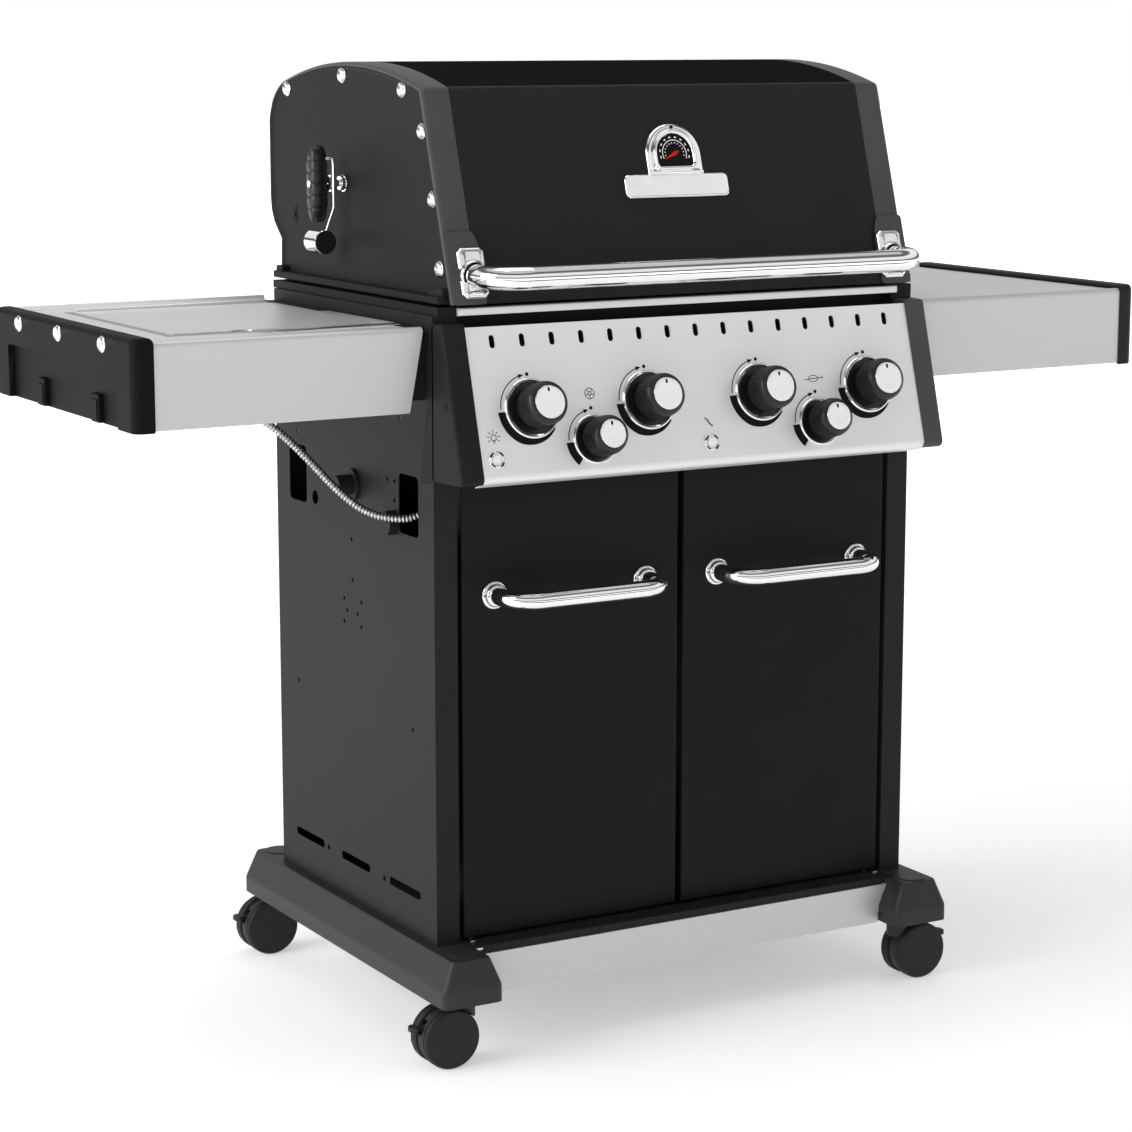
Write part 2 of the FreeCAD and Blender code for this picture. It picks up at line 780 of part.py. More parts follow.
def grease_tray():
    """An open pan with a pull at the rear, and the drip cup that stands in it."""
    pan = cut(
        box(("-tray_half", "tray_half"), ("tray_front", "tray_back"), ("tray_low", "tray_top")),
        box(("-tray_half + tray_wall", "tray_half - tray_wall"), ("tray_front + tray_wall", "tray_back - tray_wall"),
            ("tray_low + tray_wall", "tray_top + 1")),
    )
    pull = box(("-50", "50"), ("tray_back", "tray_back + 14"), ("tray_top - 3", "tray_top"))
    cup_limits = ("tray_low + tray_wall", "tray_top - 2")
    cup = cut(
        box(("-cup_half", "cup_half"), ("200", "290"), cup_limits),
        box(("-cup_half + 1.5", "cup_half - 1.5"), ("201.5", "288.5"), ("tray_low + 2 * tray_wall", "tray_top")),
    )
    return group(fuse(pan, pull), cup)


node("grease_tray", grease_tray())


# ---------------------------------------------------------------- control panel

size(
    panel_half=320,
    panel_y=-24.7,
    panel_z=900.7,
    panel_tilt=16,
    panel_long=187.6,
    panel_sheet=1.2,
    lip_radius=11,
    lip_depth=25,
    flange_depth=12,
    large_down=101,
    small_down=143.5,
    small_x=163,
    slot_down=18.3,
    slot_pitch=40.67,
    slot_wide=7.4,
    slot_tall=16,
    button_down=159,
    button_left=300,
    button_radius=6,
    button_ring=10.5,
    stem_hole=7,
    valve_stem=4,
    valve_play=0.05,
)

LARGE_PLACES = BURNER_PLACES
SMALL_PLACES = ("-small_x", "small_x")
BUTTON_PLACES = ("-button_left", "0")
TILTED = Rotation(Vector(1, 0, 0), 90 - value("panel_tilt"))


def on_panel(thing, x="0", down="0"):
    """Stands a thing on the panel's face: its own z points out of the face, its y up the slope."""
    return place(thing, x, f"panel_y - ({down}) * sin(panel_tilt)", f"panel_z - ({down}) * cos(panel_tilt)", TILTED)


def control_panel():
    """Folded steel face with a rounded lower lip, vent slots and holes for stems and buttons."""
    face = [
        ("0", "0"),
        ("0", "-flange_depth"),
        ("-panel_sheet", "-flange_depth"),
        ("-panel_sheet", "-panel_sheet"),
        ("-panel_long + lip_radius", "-panel_sheet"),
        ("-panel_long + lip_radius - (lip_radius - panel_sheet) * sin(45)",
         "-lip_radius + (lip_radius - panel_sheet) * sin(45)", "arc"),
        ("-panel_long + panel_sheet", "-lip_radius"),
        ("-panel_long + panel_sheet", "-lip_depth"),
        ("-panel_long", "-lip_depth"),
        ("-panel_long", "-lip_radius"),
        ("-panel_long + lip_radius - lip_radius * sin(45)", "-lip_radius + lip_radius * sin(45)", "arc"),
        ("-panel_long + lip_radius", "0"),
    ]
    sheet_face = prism("yz", face, "-panel_half", "panel_half")
    through = ("-5", "5")
    tools = []
    for count in range(15):
        x = f"({count} - 7) * slot_pitch"
        half = "(slot_tall - slot_wide) / 2"
        tools.append(box((f"{x} - slot_wide / 2", f"{x} + slot_wide / 2"),
                         (f"-slot_down - {half}", f"-slot_down + {half}"), through))
        tools += [rod("slot_wide / 2", "z", "10", x, f"-slot_down {sign} {half}", "-5") for sign in "+-"]
    tools += [rod("stem_hole", "z", "10", x, "-large_down", "-5") for x in LARGE_PLACES]
    tools += [rod("stem_hole", "z", "10", x, "-small_down", "-5") for x in SMALL_PLACES]
    tools += [rod("button_radius + 0.6", "z", "10", x, "-button_down", "-5") for x in BUTTON_PLACES]
    return cut(sheet_face, fuse(*tools))


node("control_panel", on_panel(control_panel()))

size(cap_out=350, cap_top=905, cap_proud=1.8, skirt_back=33, cap_round=6)


def panel_end_cap():
    """Moulded end of the panel, with a thin skirt over the cabinet's side."""
    block = [
        ("panel_y - cap_proud", "cap_top"),
        ("-gap", "cap_top"),
        ("-gap", "716"),
        ("-78", "719"),
    ]
    skirt = [("-gap", "cap_top"), ("12", "cap_top"), ("12", "805"), ("skirt_back", "710"), ("-gap", "716")]
    solid = prism("yz", block, "panel_half", "cap_out")
    rounded = round_edges(solid, "cap_round",
                          lambda limits: limits.XMin > 349 and limits.ZLength > 100 and limits.YMax < -5)
    return fuse(rounded, prism("yz", skirt, "cab_half + 0.2", "cap_out"))


node("panel_end_caps", both(panel_end_cap()))


def ring(outer, inner, height, x, down):
    """A chrome ring that lies on the panel's face."""
    return cut(rod(outer, "z", height, x, f"-({down})"), rod(inner, "z", "30", x, f"-({down})", "-10"))


def knob_bezels():
    rings = [ring("37", "31", "4", x, "large_down") for x in LARGE_PLACES]
    rings += [ring("31", "26", "4", x, "small_down") for x in SMALL_PLACES]
    rings += [ring("button_ring", "button_radius + 0.4", "2.5", x, "button_down") for x in BUTTON_PLACES]
    return group(*rings)


node("knob_bezels", on_panel(knob_bezels()))


def gas_manifold():
    """Supply pipe with six valves behind the panel and the inlet that the hose joins."""
    pieces = [rod("9.5", "x", "2 * button_left", "-button_left", "-122", "-44")]
    bores = []
    for places, down in ((LARGE_PLACES, "large_down"), (SMALL_PLACES, "small_down")):
        for x in places:
            pieces.append(box((f"{x} - 13", f"{x} + 13"), (f"-{down} - 13", f"-{down} + 13"), ("-50", "-22")))
            bores.append(rod("valve_stem + valve_play", "z", "30", x, f"-{down}", "-34"))
    pieces.append(rod("7", "z", "30", "-button_left + 2", "-122", "-70"))
    return cut(fuse(*pieces), group(*bores))


node("gas_manifold", on_panel(gas_manifold()))


def knob(radius, height, cap_radius):
    """A grip on its valve stem: a barrel that widens to its rim, and a domed face."""
    grip = fuse(
        cone(f"{radius} - 1.5", radius, "z", f"{height} - 18", z="8"),
        cone(radius, cap_radius, "z", "10", z=f"{height} - 10"),
    )
    stem = rod("valve_stem", "z", "44", z="-32")
    return fuse(grip, stem)


places = [(x, "large_down", "26", "48", "21.5") for x in LARGE_PLACES]
places += [(x, "small_down", "23.3", "45", "17.5") for x in SMALL_PLACES]
for number, (x, down, radius, height, cap_radius) in enumerate(places, 1):
    kind = "burner" if number <= 4 else "auxiliary"
    count = number if number <= 4 else number - 4
    node(f"knob_{kind}_{count}", on_panel(knob(radius, height, cap_radius), x, down))


def push_button():
    """A button face on its plunger."""
    return fuse(rod("button_radius", "z", "5", z="-2"), rod("4", "z", "18", z="-20"))


for word, x in zip(("light", "ignition"), BUTTON_PLACES):
    node(f"button_{word}", on_panel(push_button(), x, "button_down"))


# ---------------------------------------------------------------- side shelves

size(
    shelf_top=901.4,
    shelf_low=800,
    shelf_front=1,
    shelf_back=458,
    shelf_lip=4,
    shelf_inner=360,
    shelf_end=700,
    slant_foot=378,
    endcap_top=906,
    endcap_low=798,
    endcap_wall=4,
    endcap_round=22,
    hob_left=-645,
    hob_right=-391,
    hob_front=75,
    hob_back=390,
    hob_gap=2,
)


def shelf():
    """Folded top, front fascia with a slanted inner end, and a shallower back that ends in a raised edge."""
    outer = fuse(
        box(("shelf_inner", "shelf_end"), ("shelf_front", "shelf_back"), ("shelf_low", "shelf_top")),
        box(("shelf_inner", "shelf_end"), ("shelf_back - 6", "shelf_back"), ("shelf_top - 1", "shelf_top + shelf_lip")),
    )
    inner = box(("shelf_inner - 5", "shelf_end + 5"), ("shelf_front + sheet_metal", "shelf_back - sheet_metal"),
                ("shelf_low - 5", "shelf_top - sheet_metal"))
    slant = [("shelf_inner - 1", "shelf_low - 1"), ("slant_foot", "shelf_low - 1"), ("shelf_inner", "896"),
             ("shelf_inner - 1", "896")]
    behind = box(("shelf_inner - 1", "shelf_end + 1"), ("shelf_back - 10", "shelf_back + 10"), ("790", "830"))
    return cut(outer, inner, prism("xz", slant, "shelf_front - 1", "shelf_back + 1"), behind)


node("shelf_right", shelf())
hob_hole = box(("hob_left - hob_gap", "hob_right + hob_gap"), ("hob_front - hob_gap", "hob_back + hob_gap"),
               ("shelf_top - 10", "shelf_top + 10"))
node("shelf_left", cut(mirror(shelf()), hob_hole))


def shelf_end_cap():
    """Moulded end with rounded corners, a recessed lower panel and two tool hooks."""
    half = "overall_width / 2"
    plan = [("shelf_end", "-1"), (half, "-1"), (half, "460"), ("shelf_end", "460")]
    outer = prism("xy", plan, "endcap_low", "endcap_top", rounds=[plan[1], plan[2]], radius="endcap_round")
    pocket = box(("shelf_end - 1", f"{half} - 3 * endcap_wall"), ("4", "455"), ("endcap_low - 1", "endcap_top - 4"))
    recess = box((f"{half} - 2 * endcap_wall", f"{half} + 1"), ("50", "412"), ("endcap_low - 1", "864"))
    hooks = []
    for y in (125, 304):
        arm = box((f"{half} - 2 * endcap_wall - 1", f"{half} - 0.5"), (y - 13, y + 13), (799, 832))
        gap_behind = box((f"{half} - 2 * endcap_wall", f"{half} - 3"), (y - 9, y + 9), (812, 840))
        hooks.append(cut(arm, gap_behind))
    return fuse(cut(outer, pocket, recess), *hooks)


node("shelf_end_caps", both(shelf_end_cap()))


def screw(x, y, z, shrink="8"):
    """A domed screw head that stands out along +X."""
    return cone(shrink, f"{shrink} - 2", "x", "3.5", x, y, z)


node("shelf_screws", group(*(both(screw("overall_width / 2", y, "892")) for y in ("91", "234", "368"))))

size(bowl_low=850, bowl_rim=10, burner_back=232, burner_side=-515, head_radius=42)


def side_burner():
    """Bowl under the shelf, burner head, pot grate, and the elbow that takes the hose."""
    lip = "shelf_top - sheet_metal"
    limits = (("hob_left + 4", "hob_right - 4"), ("hob_front + 4", "hob_back - 4"))
    bowl = cut(
        fuse(
            box(*limits, ("bowl_low", lip)),
            box(("hob_left - bowl_rim", "hob_right + bowl_rim"), ("hob_front - bowl_rim", "hob_back + bowl_rim"),
                (f"{lip} - 1.5", lip)),
        ),
        box(("hob_left + 5.5", "hob_right - 5.5"), ("hob_front + 5.5", "hob_back - 5.5"),
            ("bowl_low + 1.5", "shelf_top + 5")),
    )
    head = fuse(
        rod("head_radius - 12", "z", "16", "burner_side", "burner_back", "bowl_low + 1.5"),
        cone("head_radius", "head_radius - 6", "z", "8", "burner_side", "burner_back", "bowl_low + 17.5"),
    )
    bars = [
        box(("hob_left + 5.5", "hob_right - 5.5"), (y - 3, y + 3), ("888", "896")) for y in (140, 232, 324)
    ]
    bars += [box((x - 3, x + 3), ("hob_front + 5.5", "hob_back - 5.5"), ("888", "896")) for x in (-600, -515, -430)]
    elbow = fuse(
        rod("8", "z", "bowl_low - 782", "-520", "302", "782"),
        tube("7", [("-520", "302", "790"), ("-505", "283", "790")], []),
    )
    return group(bowl, head, fuse(*bars), elbow)


node("side_burner", side_burner())
hob_lid = fuse(
    box(("hob_left", "hob_right"), ("hob_front", "hob_back - 2"), ("shelf_top - sheet_metal", "shelf_top")),
    rod("2.6", "x", "hob_right - hob_left", "hob_left", "hob_back - 2", "shelf_top + 1.3"),
)
finger_notch = rod("14", "z", "20", "-559", "hob_front - 6", "shelf_top - 10")
node("side_burner_lid", cut(hob_lid, finger_notch))


# ---------------------------------------------------------------- gas hose

size(hose_radius=5)

HOSE_ROUTE = (
    (-505, 283, 790),
    (-482, 251, 783),
    (-458, 218, 767),
    (-431, 180, 731),
    (-407, 147, 693),
    (-383, 114, 666),
    (-358, 80, 660),
    (-336, 63, 664),
    (-319, 55, 680),
    (-308, 53, 699),
    (-302, 50.5, 719),
    (-299, 45, 738),
    (-298, 35.6, 751.2),
    (-297.6, 22.4, 760.3),
    (-298, 9, 764.1),
)


def gas_hose():
    """A hose that hangs from the side burner and goes through the side window to the manifold."""
    points = [Vector(*point) for point in HOSE_ROUTE]
    runs = [after.distanceToPoint(before) for before, after in zip(points, points[1:])]
    radii = []
    for before, corner, after in zip(points, points[1:], points[2:]):
        turn = (corner - before).getAngle(after - corner)
        shorter = min(corner.distanceToPoint(before), after.distanceToPoint(corner))
        radii.append(0.45 * shorter / math.tan(turn / 2))
    hose = tube("hose_radius", HOSE_ROUTE, radii)
    doc.recompute()
    length = arc_path(points, radii).Length
    section = math.pi * value("hose_radius") ** 2
    print("hose radii", [round(radius) for radius in radii])
    print("hose runs", [round(run) for run in runs])
    print("hose length", round(length, 1), "volume over section times length",
          round(hose.Shape.Volume / (section * length), 4))
    return hose


node("gas_hose", gas_hose())


# ---------------------------------------------------------------- lid

size(
    lid_low=927,
    lid_edge_y=57,
    lid_edge_z=1177.7,
    lid_slope=0.3097,
    lid_half=295,
    lid_cap_out=332,
    lid_sheet=1.5,
    lid_cap_wall=4,
    lid_round=7,
    spit_y=273,
    spit_z=1057,
    spit_radius=4.5,
    spit_hole=9,
    spit_play=0.05,
)

LID_OUTLINE = (
    ("lid_edge_y - (lid_edge_z - lid_low) * lid_slope", "lid_low"),
    ("lid_edge_y", "lid_edge_z"),
    ("240", "1206.3", "arc"),
    ("440", "1183"),
    ("479", "1159", "arc"),
    ("493", "1129"),
    ("493", "1030"),
    ("482", "996"),
    ("461", "976"),
    ("463", "lid_low"),
)


def lid_section(low, high, inset=None):
    """The lid's side outline padded across; inset draws it in by that much all round."""
    sketch = doc.addObject("Sketcher::SketchObject", "lid_outline")
    draw(sketch, LID_OUTLINE)
    profile = sketch
    if inset:
        profile = doc.addObject("Part::Offset2D", "inset_outline")
        profile.Source = sketch
        profile.Join = 2
        profile.setExpression("Value", cell(f"-({inset})"))
    solid = doc.addObject("Part::Extrusion", "section")
    solid.Base = profile
    solid.Solid = True
    solid.DirMode = "Custom"
    solid.Dir = Vector(0, 0, 1)
    solid.setExpression("LengthFwd", cell(f"({high}) - ({low})"))
    return place(solid, low, "0", "0", DRAWN_IN["yz"])


def lid_shell():
    """Front, top and back in one bent sheet, with the hinge ears and pins at the back."""
    sheet_part = cut(
        lid_section("-lid_half", "lid_half"),
        lid_section("-lid_half - 1", "lid_half + 1", "lid_sheet"),
        box(("-lid_half - 1", "lid_half + 1"), ("-10", "461"), ("lid_low - 5", "lid_low + 6")),
    )
    notch = box(("lug_inner - 3", "lug_outer + 3"), ("440", "480"), ("lid_low - 5", "lid_hinge_z + 14"))
    ears = []
    for low, high in (("lug_inner - 9", "lug_inner - 3"), ("lug_outer + 1", "lid_half")):
        ears.append(box((low, high), ("458", "lid_hinge_y + 7"), ("lid_hinge_z - 3", "lid_hinge_z + 12")))
    pin = rod("lid_pin", "x", "lid_half - lug_inner + 9", "lug_inner - 9", "lid_hinge_y", "lid_hinge_z")
    hardware = fuse(pin, *ears)
    return fuse(cut(sheet_part, notch, mirror(notch)), hardware, mirror(hardware))


node("lid_shell", lid_shell())


def lid_slope_frame(thing, x="0", down="0"):
    """Stands a thing on the lid's front: its z points out of the sheet, its y up the slope."""
    angle = math.degrees(math.atan(value("lid_slope")))
    turn = Rotation(Vector(1, 0, 0), 90 - angle)
    return place(thing, x, f"lid_edge_y - ({down}) * sin(atan(lid_slope))",
                 f"lid_edge_z - ({down}) * cos(atan(lid_slope))", turn)


size(pad_inner=288, pad_thick=3, pad_top=186, pad_bottom=258)


def lid_end_cap():
    """Cast end: side wall, rim, lower flange, the spit's hole and the pad under the handle's bezel."""
    casting = cut(
        round_edges(lid_section("lid_half", "lid_cap_out"), "lid_round",
                    lambda limits: limits.XMin > value("lid_cap_out") - 0.01 and limits.ZMax > value("lid_low") + 1),
        lid_section("lid_half - 1", "lid_cap_out - lid_cap_wall", "lid_cap_wall"),
        box(("lid_half - 1", "lid_cap_out - lid_cap_wall"), ("-8", "459"), ("lid_low - 5", "lid_low + 6")),
    )
    flange = box(("lid_cap_out - lid_cap_wall", "rim_half"), ("rim_front", "rim_back"), ("lid_low", "936"))
    pad = box(("pad_inner", "lid_cap_out - 6"), ("-pad_bottom", "-pad_top"), ("0", "pad_thick"))
    bearing = rod("spit_radius + spit_play", "x", "60", "lid_half - 10", "spit_y", "spit_z")
    return cut(fuse(casting, flange, lid_slope_frame(group(pad))), bearing)


node("lid_end_caps", both(lid_end_cap()))

size(
    bezel_inner=284.5,
    bezel_outer=321,
    bezel_thick=9,
    bezel_top=195,
    bezel_bottom=257.5,
    bezel_corner=9,
    handle_radius=14.2,
    handle_out=84,
    handle_height=961,
    handle_x=303,
    handle_bend=42,
    handle_root=-18,
    collar_radius=18.5,
)


def lid_handle():
    """A bent tube across the lid's front."""
    points = [
        ("-handle_x", "handle_root", "handle_height"),
        ("-handle_x", "-handle_out", "handle_height"),
        ("handle_x", "-handle_out", "handle_height"),
        ("handle_x", "handle_root", "handle_height"),
    ]
    return tube("handle_radius", points, [value("handle_bend")] * 2)


def handle_bezel():
    """A plate with cut corners and a collar round the tube's end."""
    plate = [
        ("bezel_inner", "-bezel_bottom + bezel_corner"),
        ("bezel_inner", "-bezel_top - bezel_corner"),
        ("bezel_inner + bezel_corner", "-bezel_top"),
        ("bezel_outer - bezel_corner", "-bezel_top"),
        ("bezel_outer", "-bezel_top - bezel_corner"),
        ("bezel_outer", "-bezel_bottom + bezel_corner"),
        ("bezel_outer - bezel_corner", "-bezel_bottom"),
        ("bezel_inner + bezel_corner", "-bezel_bottom"),
    ]
    lies_on = lid_slope_frame(group(prism("xy", plate, "pad_thick", "pad_thick + bezel_thick")))
    collar = rod("collar_radius", "y", "12", "handle_x", "-32", "handle_height")
    bore = rod("handle_radius", "y", "60", "handle_x", "-60", "handle_height")
    return cut(fuse(lies_on, collar), cut(bore, box(("handle_x - 30", "handle_x + 30"), ("handle_root", "20"),
                                                     ("handle_height - 30", "handle_height + 30"))))


node("lid_handle", lid_handle())
node("lid_handle_bezels", both(handle_bezel()))

LID_SCREWS = ((436, 1174), (273, 1189), (109, 1175), (56, 1127), (30, 1048), (13, 967))
node("lid_screws", group(*(both(screw("lid_cap_out", y, z)) for y, z in LID_SCREWS)))

size(
    gauge_half=40,
    gauge_top=50,
    gauge_low=113,
    gauge_thick=10,
    plate_half=75,
    plate_low=143,
    plate_thick=7,
    plate_round=7,
    dial_half=25.5,
    dial_top=64.5,
    dial_low=104,
    ring_half=30.5,
    hub_down=89,
    needle_long=20,
)


def thermometer_bezel():
    """Arched bezel over a plain plate, with the raised rim of the dial."""
    arch = [
        ("-gauge_half", "-gauge_low"),
        ("-gauge_half", "-gauge_top - gauge_half"),
        ("0", "-gauge_top", "arc"),
        ("gauge_half", "-gauge_top - gauge_half"),
        ("gauge_half", "-gauge_low"),
    ]
    plate = [("-plate_half", "-plate_low"), ("plate_half", "-plate_low"), ("plate_half", "-gauge_low"),
             ("-plate_half", "-gauge_low")]
    rim = dial_outline("ring_half", "dial_top - 5.5", "dial_low + 5.5")
    recess = dial_outline("dial_half + gap", "dial_top - gap", "dial_low + gap")
    body = fuse(
        prism("xy", arch, "0", "gauge_thick"),
        prism("xy", plate, "0", "plate_thick", rounds=plate, radius="plate_round"),
        prism("xy", rim, "0", "gauge_thick + 3"),
    )
    return cut(body, prism("xy", recess, "gauge_thick - 1", "gauge_thick + 8"))


def dial_outline(half, top, low):
    """A D on its back: round above, flat below."""
    shoulder = f"-({top}) - ({half})"
    return [
        (f"-({half})", f"-({low})"),
        (f"-({half})", shoulder),
        ("0", f"-({top})", "arc"),
        (half, shoulder),
        (half, f"-({low})"),
    ]


def thermometer_dial():
    """The black face with its hub pin."""
    face = prism("xy", dial_outline("dial_half", "dial_top", "dial_low"), "gauge_thick - 1", "gauge_thick")
    return fuse(face, rod("0.8", "z", "2.4", "0", "-hub_down", "gauge_thick"))


def needle():
    """A slim pointer on a hub; it points to the lower left at rest."""
    pointer = [("0", "-1.1"), ("needle_long", "-0.3"), ("needle_long", "0.3"), ("0", "1.1")]
    hand = fuse(prism("xy", pointer, "0", "0.8"), rod("2.6", "z", "1.2"))
    turned = group(cut(hand, rod("0.83", "z", "5", z="-1")))
    turned.Placement = Placement(Vector(), Rotation(Vector(0, 0, 1), 205))
    upright = group(turned)
    place(upright, "0", "-hub_down", "gauge_thick + 0.6")
    return upright


node("thermometer_bezel", lid_slope_frame(group(thermometer_bezel())))
node("thermometer_dial", lid_slope_frame(group(thermometer_dial())))
node("thermometer_needle", lid_slope_frame(group(needle())))


# ---------------------------------------------------------------- spit

size(
    hub_x=366,
    grip_half=47,
    grip_width=26,
    grip_thick=24,
    weight_down=72,
    weight_radius=15,
    weight_long=34,
    wire_radius=1.6,
    motor_face=336.5,
    motor_end=412,
    fork_x=160,
    prong_out=22,
    prong_long=95,
)


def spit_handle():
    """Grip, chrome collar and the counterbalance on its wire."""
    low, high = "-hub_x - grip_thick / 2", "-hub_x + grip_thick / 2"
    wing = [
        ("spit_y - grip_width / 2", "spit_z - grip_half + 10"),
        ("spit_y", "spit_z - grip_half", "arc"),
        ("spit_y + grip_width / 2", "spit_z - grip_half + 10"),
        ("spit_y + grip_width / 2 + 1.5", "spit_z", "arc"),
        ("spit_y + grip_width / 2", "spit_z + grip_half - 10"),
        ("spit_y", "spit_z + grip_half", "arc"),
        ("spit_y - grip_width / 2", "spit_z + grip_half - 10"),
        ("spit_y - grip_width / 2 - 1.5", "spit_z", "arc"),
    ]
    grip = cut(prism("yz", wing, low, high), rod("spit_radius", "x", "80", "-hub_x - 40", "spit_y", "spit_z"))
    collar = cut(
        rod("10", "x", "6", f"{high} + 5", "spit_y", "spit_z"),
        rod("spit_radius", "x", "80", "-hub_x - 40", "spit_y", "spit_z"),
    )
    weight_x = "-hub_x + 4"
    weight = rod("weight_radius", "y", "weight_long", weight_x, "spit_y - 14", "spit_z - weight_down")
    wire = tube("wire_radius", [
        (f"{high} + 2.5", "spit_y + 8", "spit_z + 30"),
        (f"{high} + 2.5", "spit_y - 16", "spit_z + 30"),
        (f"{high} + 2.5", "spit_y - 16", "spit_z - 30"),
        (weight_x, "spit_y - 4", "spit_z - weight_down + 4"),
    ], [6, 12])
    bridge = cut(
        box((high, f"{high} + 5"), ("spit_y - 18", "spit_y + 8"), ("spit_z - 4", "spit_z + 4")),
        rod("spit_radius", "x", "80", "-hub_x - 40", "spit_y", "spit_z"),
    )
    return group(grip, fuse(collar, bridge, wire, weight))


def spit_fork(side):
    """A hub on the rod with four prongs that point to the middle."""
    hub_low = sorted([f"{side} * fork_x", f"{side} * (fork_x + 14)"], key=value)
    hub = cut(
        fuse(
            rod("12", "x", "14", hub_low[0], "spit_y", "spit_z"),
            box(hub_low, ("spit_y - prong_out - 3", "spit_y + prong_out + 3"), ("spit_z - 3", "spit_z + 3")),
            box(hub_low, ("spit_y - 3", "spit_y + 3"), ("spit_z - prong_out - 3", "spit_z + prong_out + 3")),
        ),
        rod("spit_radius", "x", "80", f"{side} * fork_x - 40", "spit_y", "spit_z"),
    )
    start = sorted([f"{side} * fork_x", f"{side} * (fork_x - prong_long)"], key=value)[0]
    prongs = [
        rod("2.5", "x", "prong_long", start, f"spit_y + ({dy}) * prong_out", f"spit_z + ({dz}) * prong_out")
        for dy, dz in ((1, 0), (-1, 0), (0, 1), (0, -1))
    ]
    return fuse(hub, *prongs)


node("spit_rod", rod("spit_radius", "x", "hub_x + 12 + motor_face + 12", "-hub_x - 12", "spit_y", "spit_z"))
node("spit_forks", group(spit_fork(-1), spit_fork(1)))
node("spit_handle", spit_handle())


def rotisserie_motor():
    """Motor housing with the spit's socket, on a bracket screwed to the lid's right end."""
    plate = cut(
        box(("lid_cap_out", "lid_cap_out + 2.5"), ("spit_y - 32", "spit_y + 32"), ("spit_z - 45", "spit_z + 45")),
        rod("spit_hole", "x", "60", "lid_cap_out - 20", "spit_y", "spit_z"),
    )
    housing = box(("lid_cap_out + 2.5", "motor_end"), ("spit_y - 30", "spit_y + 30"), ("spit_z - 55", "spit_z + 35"))
    rounded = round_edges(housing, "8", lambda limits: limits.XMin > value("motor_end") - 0.01)
    socket = rod("spit_radius + spit_play", "x", "18", "lid_cap_out", "spit_y", "spit_z")
    return group(cut(rounded, socket), plate)


node("rotisserie_motor", rotisserie_motor())


# ---------------------------------------------------------------- check and write

doc.recompute()
for thing in doc.Objects:
    failed = {"Invalid", "Error"} & set(thing.State)
    if failed:
        raise RuntimeError(f"{thing.Label} ({thing.TypeId}) is {failed}")

limits = FreeCAD.BoundBox()
for name, thing in nodes.items():
    shape = thing.Shape
    if shape.isNull() or not shape.isValid() or not shape.Solids:
        raise RuntimeError(f"{name} has no valid shape")
    limits.add(shape.BoundBox)
    shape.exportStep(f"parts/{name}.step")
print(len(nodes), "nodes; limits", limits)
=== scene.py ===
"""Looks of a gas barbecue on a cart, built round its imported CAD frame."""
import math

import bmesh
import bpy
from mathutils import Matrix, Vector


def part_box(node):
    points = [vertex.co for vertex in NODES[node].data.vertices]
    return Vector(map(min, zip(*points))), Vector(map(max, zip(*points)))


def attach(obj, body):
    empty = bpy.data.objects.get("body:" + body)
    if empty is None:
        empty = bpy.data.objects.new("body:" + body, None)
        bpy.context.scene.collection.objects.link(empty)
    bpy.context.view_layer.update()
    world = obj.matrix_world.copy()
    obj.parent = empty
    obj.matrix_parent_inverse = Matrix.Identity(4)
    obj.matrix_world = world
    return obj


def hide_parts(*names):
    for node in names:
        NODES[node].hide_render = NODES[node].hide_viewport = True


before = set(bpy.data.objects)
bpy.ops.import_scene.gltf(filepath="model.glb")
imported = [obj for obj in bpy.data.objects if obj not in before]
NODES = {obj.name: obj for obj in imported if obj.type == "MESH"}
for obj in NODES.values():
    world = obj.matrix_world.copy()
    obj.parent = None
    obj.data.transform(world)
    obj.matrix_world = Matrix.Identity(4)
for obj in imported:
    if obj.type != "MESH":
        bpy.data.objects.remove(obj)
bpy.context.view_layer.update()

SIDES = (("left", -1), ("right", 1))

# The pieces are drawn in millimetres with y = 0 on the cabinet's front face.
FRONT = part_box("side_panels")[0].y * 1000


def at(x, y, z):
    """A point of the drawing as a point of the row frame, in metres."""
    return Vector((x, y + FRONT, z)) / 1000


def slope(y, z, tilt):
    """A sloping face's own millimetres: x across, y up the slope, z out of the face."""
    lean = math.radians(tilt)
    across = Vector((1, 0, 0))
    up = Vector((0, math.sin(lean), math.cos(lean)))
    out = Vector((0, -math.cos(lean), math.sin(lean)))
    turn = Matrix((across, up, out)).transposed().to_4x4()
    return Matrix.Translation(at(0, y, z)) @ turn @ Matrix.Scale(0.001, 4)


SCENE = bpy.context.scene
CART = Matrix.Translation(at(0, 0, 0)) @ Matrix.Scale(0.001, 4)
PANEL_TILT = 16
PANEL = slope(-24.7, 900.7, PANEL_TILT)
LID_TILT = math.degrees(math.atan(0.3097))
LID_FACE = slope(57, 1177.7, LID_TILT)


# --- camera

camera_data = bpy.data.cameras.new("camera")
camera_data.sensor_width = 36
camera_data.lens = 93.62
camera_data.clip_end = 50
camera = bpy.data.objects.new("camera", camera_data)
camera.location = at(-1942.15, -3075.91, 1245.13)
camera.rotation_euler = (math.radians(79.68), 0, math.radians(-30))
SCENE.collection.objects.link(camera)
SCENE.camera = camera


# --- materials


def link(tree, source, target):
    tree.links.new(source, target)


def add_node(tree, kind):
    return tree.nodes.new("ShaderNode" + kind)


def put(node, values):
    for key, value in values.items():
        node.inputs[key].default_value = value


